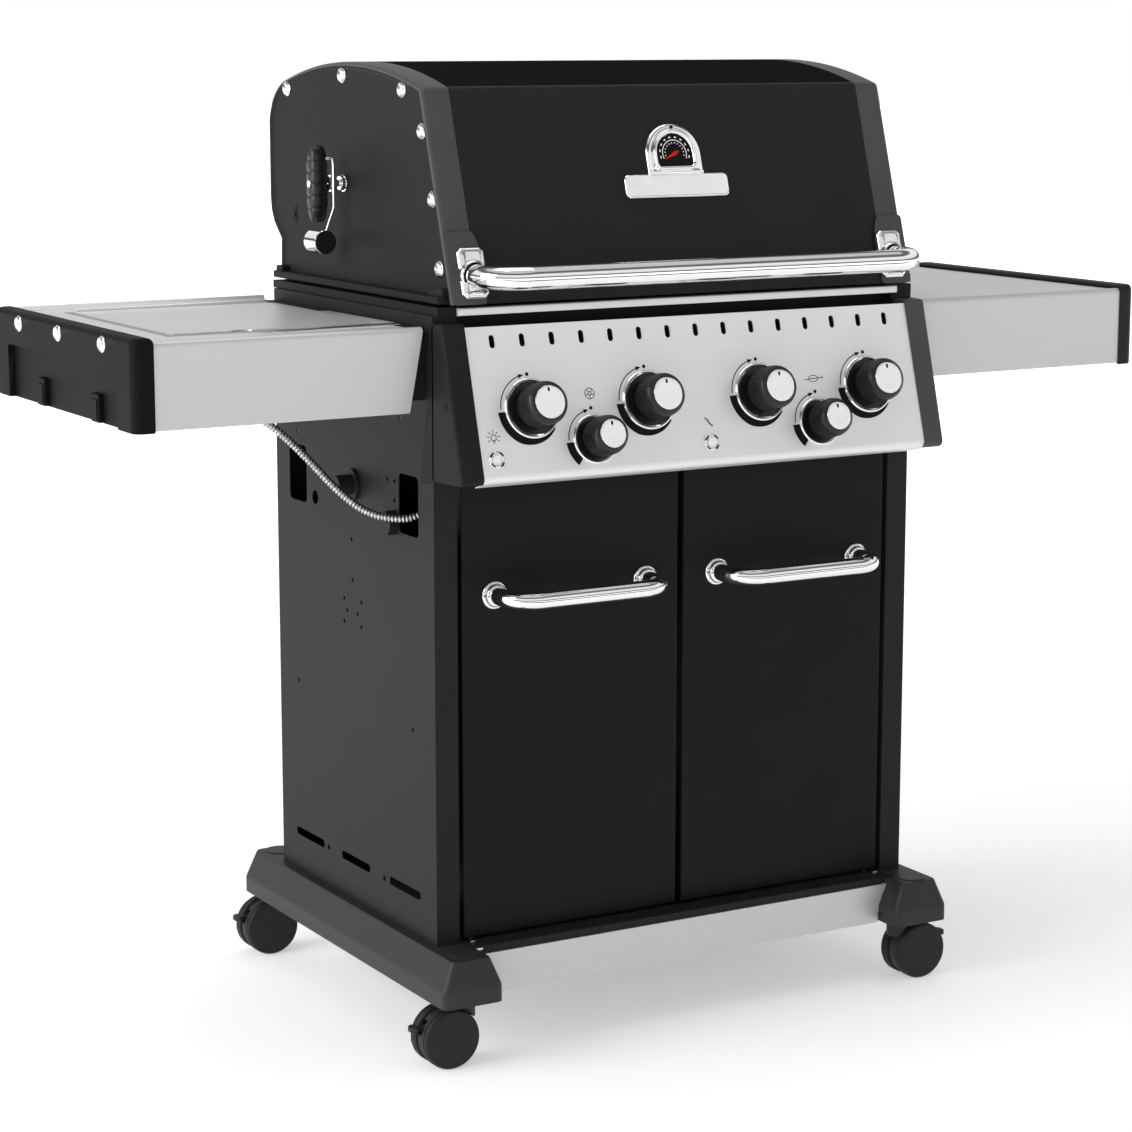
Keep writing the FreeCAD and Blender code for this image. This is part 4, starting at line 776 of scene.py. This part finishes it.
def icons():
    bulb = [circle_line(-300, -132.5, 3.6, 1.0), stroke([(-301.6, -137.2), (-298.4, -137.2)], 0.9),
            stroke([(-301.2, -139), (-298.8, -139)], 0.9)]
    for n in range(7):
        bulb.append(stroke(spoke(-300, -132.5, -30 + 40 * n, 5.4, 9.2), 0.9))
    spark = join(stroke([(-5, -128), (0.3, -132.4)], 1.6), stroke([(0.3, -132.4), (-0.8, -133.6)], 1.2),
                 stroke([(-0.8, -133.6), (5.4, -139)], 1.6))
    ring = [circle_line(-162, -88, 6.6, 0.9), circle_line(-162, -88, 2.2, 0.9)]
    for n in range(5):
        ring.append(stroke(spoke(-162, -88, 54 + 72 * n, 2.4, 6.2), 0.9))
    roast = [(163 + 7 * math.cos(a), -89 + 4 * math.sin(a)) for a in (2 * math.pi * n / 16 for n in range(17))]
    spit = [stroke([(149.5, -89.8), (177, -88.2)], 1.0), stroke(roast, 0.9), stroke([(177, -86), (177, -90.5)], 1.0)]
    return join(*bulb, spark, *ring, *spit)


marks = [dial_print(x, y, -59.6, 41, (45.5, 36.5, 318, 39)) for x, y in LARGE]
marks += [dial_print(x, y, -105.4, 36, (40, 30.5, 228, None)) for x, y in SMALL]
for x, y in BUTTONS:
    marks += [sector(x, y, 10.2, 8.0, a, a + 42, 2.52, 8) for a in (24, 114, 204, 294)]
piece("panel_print", "cart", "ink", join(*marks, icons()), where=PANEL, weld=False)


def panel_cap():
    """The panel's moulded end with soft corners, and its skirt over the cabinet's side."""
    end = rounded([(-78, 719), (-0.3, 716), (-0.3, 905), (-26.5, 905)], [8, 0.5, 0.5, 6])
    skirt = [(-8, 716.3), (33, 710), (12, 805), (12, 905), (-8, 905)]
    return join(plate(end, 320, 350, plane="yz", edge=4), plate(skirt, 345.2, 349.95, plane="yz", edge=0.6))


# The left panel end, facing the key lamp, keeps the cast black; the right end takes its lighter copy as painted
# light.
for word, side, tone in (("left", -1, "cast_black"), ("right", 1, "cast_rim")):
    made = piece(f"panel_end_{word}", "cart", tone, sided(panel_cap(), side), angle=34)
    if side > 0:
        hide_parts("panel_end_caps")

# Two shallow dark dimples on the left panel end: painted shade for small holes.
dimples = [shift(lathe([(r, 0), (r, 0.1), (r - 0.5, -0.06), (0.3, -0.1)], "x", 24), -350, y, z)
           for y, z, r in ((-37.7, 809.3, 4.9), (-51.4, 767.2, 1.6))]
piece("end_cap_holes", "cart", "ink", join(*dimples))

# Trim strip above the panel, with a rolled upper edge.
strip = [(-6.2, 913.2), (-9.4, 913.2), (-10, 914), (-10, 920.8), (-9.2, 922.2), (-7.6, 922.5), (-6.2, 922.5)]
piece("trim_strip", "cart", "stainless", loft([[(x, y, z) for y, z in strip] for x in (-319, 319)]),
      replaces=["cookbox_trim"], angle=50)


# --- side shelves


SHELF_INNER, SHELF_END, SHELF_OUT, SHELF_BACK, SHELF_TOP = 360, 700, 725, 458, 899.4


def shelf_profile():
    """The bent sheet's line from the foot of the front, over the rolled edge and the top, to the back."""
    front = [(2, 800), (1, 802), (1, 888)]
    roll = []
    for step in range(9):
        angle = math.radians(180 - 18 * step)
        roll.append((1 + 6.5 + 6.5 * math.cos(angle), 894.4 + 6.9 * math.sin(angle)))
    dip = [(14.6, 899.6), (16.4, 899.2), (19, 899.4)]
    rear = [(-8, SHELF_TOP), (-6, 901.4), (-4.8, 904), (-3, 904.9), (-0.8, 904.2), (0, 902), (0, 830)]
    return front + roll + dip, [(SHELF_BACK + y, z) for y, z in rear]


def shelf_sheet(side, hole=None):
    """Front, top and back of a shelf; the hole is (x0, x1, y0, y1) in the top."""
    front, back = shelf_profile()

    def inner(z):
        return SHELF_INNER if z > 896 else SHELF_INNER + 18 * (896 - z) / 96
    shapes = []
    for line in (front, back):
        near = [(inner(z), y, z) for y, z in line]
        far = [(SHELF_END, y, z) for y, z in line]
        shapes.append(open_loft([near, far]))
    face = shapes.pop(0)
    x0, x1, y0, y1 = SHELF_INNER, SHELF_END, front[-1][0], back[0][0]
    fields = [(x0, x1, y0, y1)]
    if hole:
        hx0, hx1, hy0, hy1 = hole
        fields = [(x0, x1, y0, hy0), (x0, x1, hy1, y1), (x0, hx0, hy0, hy1), (hx1, x1, hy0, hy1)]
    shapes += [flat(rectangle(*field), SHELF_TOP) for field in fields]
    return [sided(shape, side) for shape in (face, join(*shapes))]


HOB = (389, 647, 73, 392)
for word, side, hole in (("right", 1, None), ("left", -1, HOB)):
    face, top = shelf_sheet(side, hole)
    piece(f"shelf_sheet_{word}", "cart", "shelf_steel", top, sheet=1.2, replaces=[f"shelf_{word}"], angle=40)
    # The front of the bent sheet takes the darker copy of its steel: painted shade.
    piece(f"shelf_face_{word}", "cart", "face_steel", face, sheet=1.2, angle=40)


def apply_cut(thing, *cutters):
    """Cuts shapes out of a piece for good."""
    for cutter in cutters:
        mesh = bpy.data.meshes.new("cutter")
        mesh.from_pydata([CART @ Vector(v) for v in cutter[0]], [], cutter[1])
        tool = bpy.data.objects.new("cutter", mesh)
        SCENE.collection.objects.link(tool)
        cut = thing.modifiers.new("cut", "BOOLEAN")
        cut.operation = "DIFFERENCE"
        cut.object = tool
        cut.solver = "EXACT"
        graph = bpy.context.evaluated_depsgraph_get()
        result = bpy.data.meshes.new_from_object(thing.evaluated_get(graph))
        thing.modifiers.remove(cut)
        thing.data = result
        bpy.data.objects.remove(tool)
    thing.data.set_sharp_from_angle(angle=math.radians(32))


def shelf_end(side):
    """A moulded end: rounded corners and a soft top edge; the recess of its lower panel is cut afterwards."""
    inner, back = SHELF_END - 0.5, SHELF_BACK + 2
    plan = rounded([(inner, -1), (SHELF_OUT, -1), (SHELF_OUT, back), (inner, back)], [0, 20, 20, 0], 8)
    rings = [(798, 1.2), (799, 0.2), (800, 0), (899, 0), (902.4, 0.9), (904.9, 2.9), (906, 5.6)]
    return sided(raised(plan, rings), side)


def tool_hook(y):
    body = plate(rectangle(y - 13, y + 13, 798.5, 832, 3), 715.5, 723.6, plane="yz", edge=1.4)
    arm = plate(rectangle(y - 9, y + 9, 801, 826, 2.5), 723.4, 724.9, plane="yz", edge=0.9)
    groove = plate(rectangle(y - 13.4, y + 13.4, 806, 809, 0.8), 719, 723.9, plane="yz", edge=0.4)
    return join(body, arm, groove)


for word, side in SIDES:
    # The right end and its hooks take the lighter copy, the left end the darker: painted light and painted shade.
    tone = "end_grey" if side > 0 else "end_black"
    end_piece = piece(f"shelf_end_{word}", "cart", tone, shelf_end(side), angle=32)
    hollow = block((690, 713), (3, SHELF_BACK - 1), (790, 902))
    lower = plate(rectangle(50, 412, 700, 864, 6), 717, 760, plane="yz")
    cutters = [hollow, lower]
    apply_cut(end_piece, *(sided(cutter, side) for cutter in cutters))
    hooks = join(tool_hook(125), tool_hook(304))
    piece(f"shelf_hooks_{word}", "cart", tone, sided(hooks, side), angle=35)
    if side > 0:
        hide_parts("shelf_end_caps")


def screw_head(x, y, z, radius=10.2, height=5.4):
    """A domed chrome head on a thin collar."""
    rows = [(radius, 0), (radius, 0.9), (radius * 0.95, 1.5), (radius * 0.9, 1.7), (radius * 0.86, 2.4),
            (radius * 0.76, 3.6), (radius * 0.56, height - 0.7), (radius * 0.3, height - 0.15), (0.5, height)]
    return shift(lathe(rows, "x", 40), x, y, z)


heads = join(*(screw_head(SHELF_OUT, y, 892, 9.8, 3.6) for y in (91, 234, 368)))
piece("shelf_screw_heads", "cart", "satin", paired(heads), replaces=["shelf_screws"], angle=50)

burner_ports = spread(block((38.4, 41.6), (-0.9, 0.9), (870, 874)), 28, "Z")
crown = lathe([(20, 868), (39, 868), (40.6, 870.5), (39.4, 874), (35.6, 876.4), (12, 878), (0.5, 878)], "z", 64)
piece("side_burner_crown", "cart", "iron", shift(join(crown, burner_ports), -515, 232), angle=40)


# --- lid


def arc_through(a, b, c, steps):
    """Points on the circle through three points, from a to c."""
    (ax, ay), (bx, by), (cx, cy) = a, b, c
    d = 2 * (ax * (by - cy) + bx * (cy - ay) + cx * (ay - by))
    aa, bb, cc = ax * ax + ay * ay, bx * bx + by * by, cx * cx + cy * cy
    ux = (aa * (by - cy) + bb * (cy - ay) + cc * (ay - by)) / d
    uy = (aa * (cx - bx) + bb * (ax - cx) + cc * (bx - ax)) / d
    r = math.hypot(ax - ux, ay - uy)
    first, last = math.atan2(ay - uy, ax - ux), math.atan2(cy - uy, cx - ux)
    if last > first:
        last -= 2 * math.pi
    return [(ux + r * math.cos(first + (last - first) * n / steps),
             uy + r * math.sin(first + (last - first) * n / steps)) for n in range(steps + 1)]


LID_LOW, LID_HALF, LID_OUT, LID_CREASE = 927, 295, 329.5, 5


def lid_line(drawn_in=0.0):
    """The lid's side line, from the front's foot over the top to the back's foot (clockwise)."""
    foot, edge = (-20.6, LID_LOW), (57, 1177.7)
    top = arc_through(edge, (240, 1206.3), (440, 1183), 40)
    corner = arc_through((440, 1183), (479, 1159), (493, 1129), 14)
    rest = [(493, 1030), (490.5, 1012), (482, 996), (461, 976), (463, LID_LOW)]
    line = [foot, edge] + top[1:] + corner[1:] + rest
    if drawn_in:
        line = inset(line, -drawn_in, closed=False)
        for end, beside in ((0, 1), (-1, -2)):
            (ax, ay), (bx, by) = line[end], line[beside]
            t = (LID_LOW - by) / (ay - by)
            line[end] = (bx + (ax - bx) * t, LID_LOW)
    foot, edge, after = (Vector(p) for p in line[:3])
    reach = max(0.8, LID_CREASE - 0.5 * drawn_in)
    before = edge + (foot - edge).normalized() * reach
    over = edge + (after - edge).normalized() * min(reach, (after - edge).length * 0.6)
    soft = [tuple(before.lerp(edge, t).lerp(edge.lerp(over, t), t)) for t in (step / 6 for step in range(7))]
    return [line[0]] + soft + line[2:]


def lid_shell(part):
    """The bent sheet from its lower lip to the crease, or from the crease over the top to the back."""
    line = lid_line()
    full = [(-10, LID_LOW + 0.4), (-18.6, LID_LOW)] + line[:8] if part == "front" else line[7:]
    return open_loft([[(x, y, z) for y, z in full] for x in (-LID_HALF, LID_HALF)])


piece("lid_sheet", "lid", "lid_black", lid_shell("front"), sheet=1.4, replaces=["lid_shell"], angle=30)
# The top of the same sheet takes the darker copy of its black: painted shade.
piece("lid_sheet_top", "lid", "lid_back_black", lid_shell("top"), sheet=1.4, angle=30)

ears = []
for low, high in ((261, 267), (291, 295)):
    ear = rounded([(458, 927), (473, 927), (473, 942), (458, 942)], [1, 6, 6, 1], 5)
    ears.append(plate(ear, low, high, plane="yz"))
hinge_pin = shift(lathe([(3.9, 259.5), (3.9, 295)], "x", 20), 0, 466, 930)
ear_set = join(*ears, hinge_pin)
piece("lid_hinge_ears", "lid", "steel", paired(ear_set), angle=40)


def end_casting():
    """Rim and side wall of the lid's cast end, with a bead along the corner."""
    steps = [(LID_HALF, 0), (324, 0), (327.6, 0.4), (330, 1.5), (331.4, 3), (331.9, 5), (331.5, 7), (330.6, 8.2),
             (329.7, 9.4), (LID_OUT, 11), (LID_OUT, 16)]
    rings = [[(x, y, z) for y, z in lid_line(drawn_in)] for x, drawn_in in steps]
    rim = open_loft(rings[:6])
    vertices, faces = open_loft(rings[5:])
    count = len(rings[0])
    last = (len(rings) - 6) * count
    faces.append(tuple(range(last, last + count)))
    return rim, (vertices, faces)


def end_fittings():
    """Flange, hinge block and the front toe of the lid's end."""
    flange = plate(rectangle(-6, 459, 927, 936, 1.5), 326, 344, plane="yz", edge=1.8)
    heel = plate(rectangle(438, 456, 935, 943, 2), 328, 341, plane="yz", edge=1.5)
    toe = plate(rounded([(-6, 935), (40, 935), (26, 942), (2, 946), (-6, 946)], 3), 326, 338, plane="yz", edge=1.5)
    return join(flange, heel, toe)


PAD = [(330, -262), (330, -176), (295, -176), (292.5, -181), (290, -187), (288.6, -194), (288, -202), (288, -262)]
for word, side in SIDES:
    rim, wall = end_casting()
    made = piece(f"lid_end_{word}", "lid", "cast_black", sided(wall, side), sheet=3, angle=34)
    # The rim takes the lighter copy of the cast black: painted light.
    piece(f"lid_rim_{word}", "lid", "cast_rim", sided(rim, side), sheet=2.4, angle=34)
    if side > 0:
        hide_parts("lid_end_caps")
    piece(f"lid_end_fittings_{word}", "lid", "cast_black", sided(end_fittings(), side), angle=34)
    # The pad takes the same lighter copy: painted light.
    pad = plate(rounded(PAD, 3, 4)[::-1], 0, 3, edge=1.2)
    piece(f"lid_pad_{word}", "lid", "cast_rim", sided(pad, side), where=LID_FACE, angle=34)

SCREWS = ((436, 1171), (273, 1190), (109, 1175), (58, 1127), (32, 1048), (15, 967))
lid_heads = join(*(screw_head(LID_OUT + 0.1, y, z) for y, z in SCREWS))
piece("lid_screw_heads", "lid", "satin", paired(lid_heads), replaces=["lid_screws"], angle=50)
# Dark discs round the lid's screw heads: painted shadow.
shadows = join(*(shift(lathe([(11, 0), (11, 0.12), (0.4, 0.12)], "x", 32), LID_OUT, y, z) for y, z in SCREWS))
piece("lid_screw_painted_shadows", "lid", "ink", paired(shadows))

SPIT = (273, 1057)
# Dark discs in place of the spit hole and two small holes: painted shade, the holes are not cut.
holes = [shift(lathe([(11.5, 0), (11.5, 0.2), (0.4, 0.2)], "x", 32), -329.9, *SPIT)]
holes += [shift(lathe([(6, 0), (6, 0.2), (0.4, 0.2)], "x", 20), -329.9, 417, z) for z in (1006, 1015)]
piece("lid_end_holes", "lid", "ink", join(*holes))
bush = lathe([(4.6, -336), (8.6, -336), (9.2, -335), (9.2, -331), (11, -330.6), (11, -329.5), (4.6, -329.5)], "x", 40)
piece("spit_bushing", "lid", "chrome", shift(bush, 0, *SPIT), angle=40)

GRAB_X, GRAB_Y, GRAB_Z, GRAB_RADIUS = 303, -84, 961, 14.2
grab_line = [(-GRAB_X, -18), (-GRAB_X, GRAB_Y), (GRAB_X, GRAB_Y), (GRAB_X, -18)]
rod = bar([(x, y, GRAB_Z) for x, y in grab_line], GRAB_RADIUS, [42, 42], 64, 24)
piece("lid_grab_rail", "lid", "chrome", rod, replaces=["lid_handle"], angle=60)


def handle_bracket():
    """A polished casting with cut corners; its face falls away from the tube's collar."""
    frame_line = rounded([(284.5, -252), (290, -257.5), (315.5, -257.5), (321, -252), (321, -233), (317.5, -226.5),
                          (321, -220), (321, -200.5), (315.5, -195), (290, -195), (284.5, -200.5), (284.5, -220),
                          (288, -226.5), (284.5, -233)], 1.6, 3)
    rings = [(3, 0), (7.4, 0), (9.2, 0.8), (10.4, 2), (11.4, 3.4), (12, 5.4), (12, 8)]
    return raised(frame_line, rings)


def handle_collar():
    rows = [(18.6, -13), (18.6, -20), (18.3, -22.6), (17.4, -24.4), (16.2, -25), (15.4, -24.4), (15.2, -22)]
    return shift(lathe(rows, "y", 56), GRAB_X, 0, GRAB_Z)


seal = shift(lathe([(14.2, -22), (15.4, -22), (15.4, -24.8), (14.2, -24.8)], "y", 56), GRAB_X, 0, GRAB_Z)
for word, side in SIDES:
    made = piece(f"handle_bracket_{word}", "lid", "satin", sided(handle_bracket(), side), where=LID_FACE, angle=50)
    if side > 0:
        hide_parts("lid_handle_bezels")
    piece(f"handle_collar_{word}", "lid", "satin", sided(handle_collar(), side), angle=50)
    piece(f"handle_seal_{word}", "lid", "ink", sided(seal, side), angle=50)


# --- thermometer


def arch(half, top, low, corner=3):
    """An arch: a half circle over straight sides."""
    centre = -top - half
    points = [(half, -low)]
    for step in range(25):
        angle = math.pi * step / 24
        points.append((half * math.cos(angle), centre + half * math.sin(angle)))
    points.append((-half, -low))
    return rounded(points, [corner] + [0] * 25 + [corner], 4)


def gauge_body():
    outline = arch(40, 50, 116, 1)
    rings = [(0, 0), (5.6, 0), (7.6, 0.6), (9.2, 2), (10, 4.2), (9.7, 6.6), (8.8, 8.2)]
    body = raised(outline, rings)
    rim_line = arch(30.5, 59, 109.5, 13)
    rim = [(8, 0), (11.4, 0), (12.6, 0.7), (13, 1.8), (12.8, 3.2), (11.8, 4.4), (10.6, 5)]
    return join(body, raised(rim_line, rim, caps=(True, False)))


piece("gauge_housing", "lid", "chrome", gauge_body(), where=LID_FACE, replaces=["thermometer_bezel"], angle=60)
name_line = rectangle(-75, 75, -143, -113, 7, 6)
name_rings = [(0, 0), (4.8, 0), (6.2, 0.6), (7, 1.9), (6.9, 2.6), (6.3, 3.2)]
piece("plain_plate", "lid", "chrome", raised(name_line, name_rings), where=LID_FACE, angle=60)
field = rectangle(-71.4, 71.4, -139.4, -116.6, 4.5, 5)
piece("plain_plate_field", "lid", "pale_plate", plate(field, 6.2, 6.6, edge=0.2), where=LID_FACE, angle=60)

HUB = (0, -89)
DIAL = 10.12  # the printed level of the gauge's dial
scale = [sector(*HUB, 17.6, 16.6, -22, 202, DIAL, 40)]
scale += [stroke(spoke(*HUB, -12 + 204 * n / 9, 20, 21.6), 3.0, DIAL) for n in range(10)]
scale += [stroke(spoke(*HUB, -10 + 200 * n / 11, 12.8, 14.2), 1.3, DIAL) for n in range(12)]
piece("gauge_scale", "lid", "white_ink", join(*scale), where=LID_FACE, weld=False)

hand = rounded([(-6, -0.9), (-3, -1.9), (2, -2.1), (5, -1.5), (16.5, -0.3), (16.5, 0.3), (5, 1.5), (2, 2.1),
                (-3, 1.9), (-6, 0.9)], 0.2, 2)
needle = join(plate(hand, 0, 0.8, edge=0.2), lathe([(2.6, 0), (2.6, 1.0), (1.8, 1.3), (0.3, 1.3)], "z", 24))
needle = moved(needle, Matrix.Rotation(math.radians(205), 4, "Z"))
piece("gauge_needle", "thermometer_needle", "red", shift(needle, *HUB, 10.6), where=LID_FACE,
      replaces=["thermometer_needle"], angle=40)
# A dark disc near the top of the gauge: painted shade for a small hole.
vent = lathe([(2.3, 0), (2.3, 0.4), (0.4, 0.4)], "z", 20)
piece("gauge_vent", "lid", "ink", shift(vent, 1, -55.5, 9.9), where=LID_FACE)


# --- spit


def spit_grip():
    """A barrel with five finger grooves round it."""
    rings = []
    for n in range(81):
        z = 94 * n / 80 - 47
        full = max(0.02, 1 - abs(z / 47.1) ** 3.4) ** 0.5
        groove = 1.1 * sum(math.exp(-((z - middle) / 1.6) ** 2) for middle in (-30, -15, 0, 15, 30))
        ring = []
        for k in range(40):
            c, s = math.cos(math.pi * k / 20), math.sin(math.pi * k / 20)
            x = (12 - groove) * (0.5 + 0.5 * full) * math.copysign(abs(c) ** 0.72, c)
            y = (13 * full - groove * full) * math.copysign(abs(s) ** 0.72, s)
            ring.append((x - 366, SPIT[0] + y, SPIT[1] + z))
        rings.append(ring)
    return loft(rings)


piece("spit_grip", "spit", "grip", spit_grip(), replaces=["spit_handle"], angle=50)
tip = shift(lathe([(4.4, -377), (4.4, -377.9), (3.6, -378.4), (0.4, -378.4)], "x", 24), 0, *SPIT)
piece("spit_rod_tip", "spit", "chrome", tip)
washers = lathe([(4.6, -354), (9.5, -354), (9.5, -351.4), (7, -351.4), (7, -348.5), (10.4, -348.5), (10.4, -343),
                 (4.6, -343)], "x", 40)
wire = bar([(-351.5, 281, 1088), (-351.5, 257, 1088), (-351.5, 257, 1027), (-360, 269, 989)], 1.6, [6, 12], 16)
piece("spit_wire", "spit", "chrome", join(shift(washers, 0, *SPIT), wire), angle=50)
ball = lathe([(0.5, 259), (14.2, 259), (15, 259.8), (15, 291.6), (14, 292.8), (0.5, 292.8)], "y", 48)
WEIGHT = (-362, 0, 985)
piece("spit_weight", "spit", "chrome", shift(ball, *WEIGHT), angle=40)
face = lathe([(0.5, 258.7), (14.1, 258.7), (14.4, 259.1), (14.4, 259.4)], "y", 48)
piece("spit_weight_face", "spit", "grip", shift(face, *WEIGHT), angle=40)


# --- motor


case = plate(rectangle(243, 303, 1002, 1092, 8, 6), 334.5, 412, plane="yz", edge=6, steps=5)
piece("motor_case", "lid", "moulded", case, replaces=["rotisserie_motor"], angle=40)
mount = plate(rectangle(241, 305, 1012, 1102, 4), 332, 334.5, plane="yz")
piece("motor_mount", "lid", "steel", mount, angle=40)
# Dark slots on the motor's face: painted shade for its vents; a dark square sits above them.
vents = [plate(rectangle(258, 288, z, z + 3, 1.2), 411.6, 412.1, plane="yz") for z in range(1012, 1034, 6)]
vents.append(plate(rectangle(264, 282, 1062, 1078, 2), 411.8, 412.2, plane="yz"))
piece("motor_vents", "lid", "ink", join(*vents), angle=40)


# --- stage


def stage_plane(name, size, location, rotation, colour, rough):
    bpy.ops.mesh.primitive_plane_add(size=size, location=location, rotation=rotation)
    thing = bpy.context.object
    thing.name = name
    made = bpy.data.materials.new(name)
    made.use_nodes = True
    put(made.node_tree.nodes["Principled BSDF"], {"Base Color": (*colour, 1), "Roughness": rough})
    thing.data.materials.append(made)
    return thing


# The floor glows: painted light, weak near the cart and rising to white further out.
floor = stage_plane("floor", 200, (0, 0, 0), (0, 0, 0), (0.8, 0.8, 0.8), 0.8)
far = floor.data.materials[0].node_tree
where_node = add_node(far, "TexCoord")
distance = add_node(far, "VectorMath")
distance.operation = "LENGTH"
fade = add_node(far, "MapRange")
put(fade, {"From Min": 1.3, "From Max": 5, "To Min": 0.42, "To Max": 1.1})
link(far, where_node.outputs["Object"], distance.inputs[0])
link(far, distance.outputs["Value"], fade.inputs["Value"])
shader = far.nodes["Principled BSDF"]
put(shader, {"Emission Color": (1, 1, 1, 1)})
link(far, fade.outputs["Result"], shader.inputs["Emission Strength"])


card = stage_plane("dark_card", 1, (1, -2.2, 0.2), (math.pi / 2, 0, 0), (0.004, 0.004, 0.004), 0.9)
card.scale = (9, 0.32, 1)
card.visible_camera = False
card.visible_diffuse = False
card.visible_shadow = False


def lamp(name, location, target, size, power):
    data = bpy.data.lights.new(name, "AREA")
    data.shape = "RECTANGLE"
    data.size, data.size_y = size
    data.energy = power
    made = bpy.data.objects.new(name, data)
    made.location = location
    made.rotation_euler = (Vector(target) - Vector(location)).to_track_quat("-Z", "Y").to_euler()
    SCENE.collection.objects.link(made)


lamp("left_key", (-3.6, 0.2, 1.9), (0, 0, 0.7), (2.6, 2.2), 90)
lamp("above", (0, 0.2, 3.8), (0, 0, 0.8), (2.4, 1.6), 22)

# The sky: white near the horizon, with darker bands in front that give polished tubes their contrast.
world = bpy.data.worlds.new("studio")
world.use_nodes = True
sky = world.node_tree
shine = sky.nodes["Background"]
aim = add_node(sky, "TexCoord")
parts = add_node(sky, "SeparateXYZ")
link(sky, aim.outputs["Generated"], parts.inputs["Vector"])
bands = add_node(sky, "ValToRGB")
link(sky, parts.outputs["Z"], bands.inputs["Fac"])
stops = ((0.0, 1.0), (0.03, 1.0), (0.06, 0.12), (0.17, 0.12), (0.22, 0.85), (0.52, 0.95), (0.6, 0.15), (0.74, 0.15),
         (0.8, 0.6))
while len(bands.color_ramp.elements) < len(stops):
    bands.color_ramp.elements.new(0.5)
for element, (place, level) in zip(bands.color_ramp.elements, stops):
    element.position = place
    element.color = (level, level, level, 1)
link(sky, bands.outputs["Color"], shine.inputs["Color"])
put(shine, {"Strength": 1.0})
SCENE.world = world
SCENE.view_settings.view_transform = "Standard"
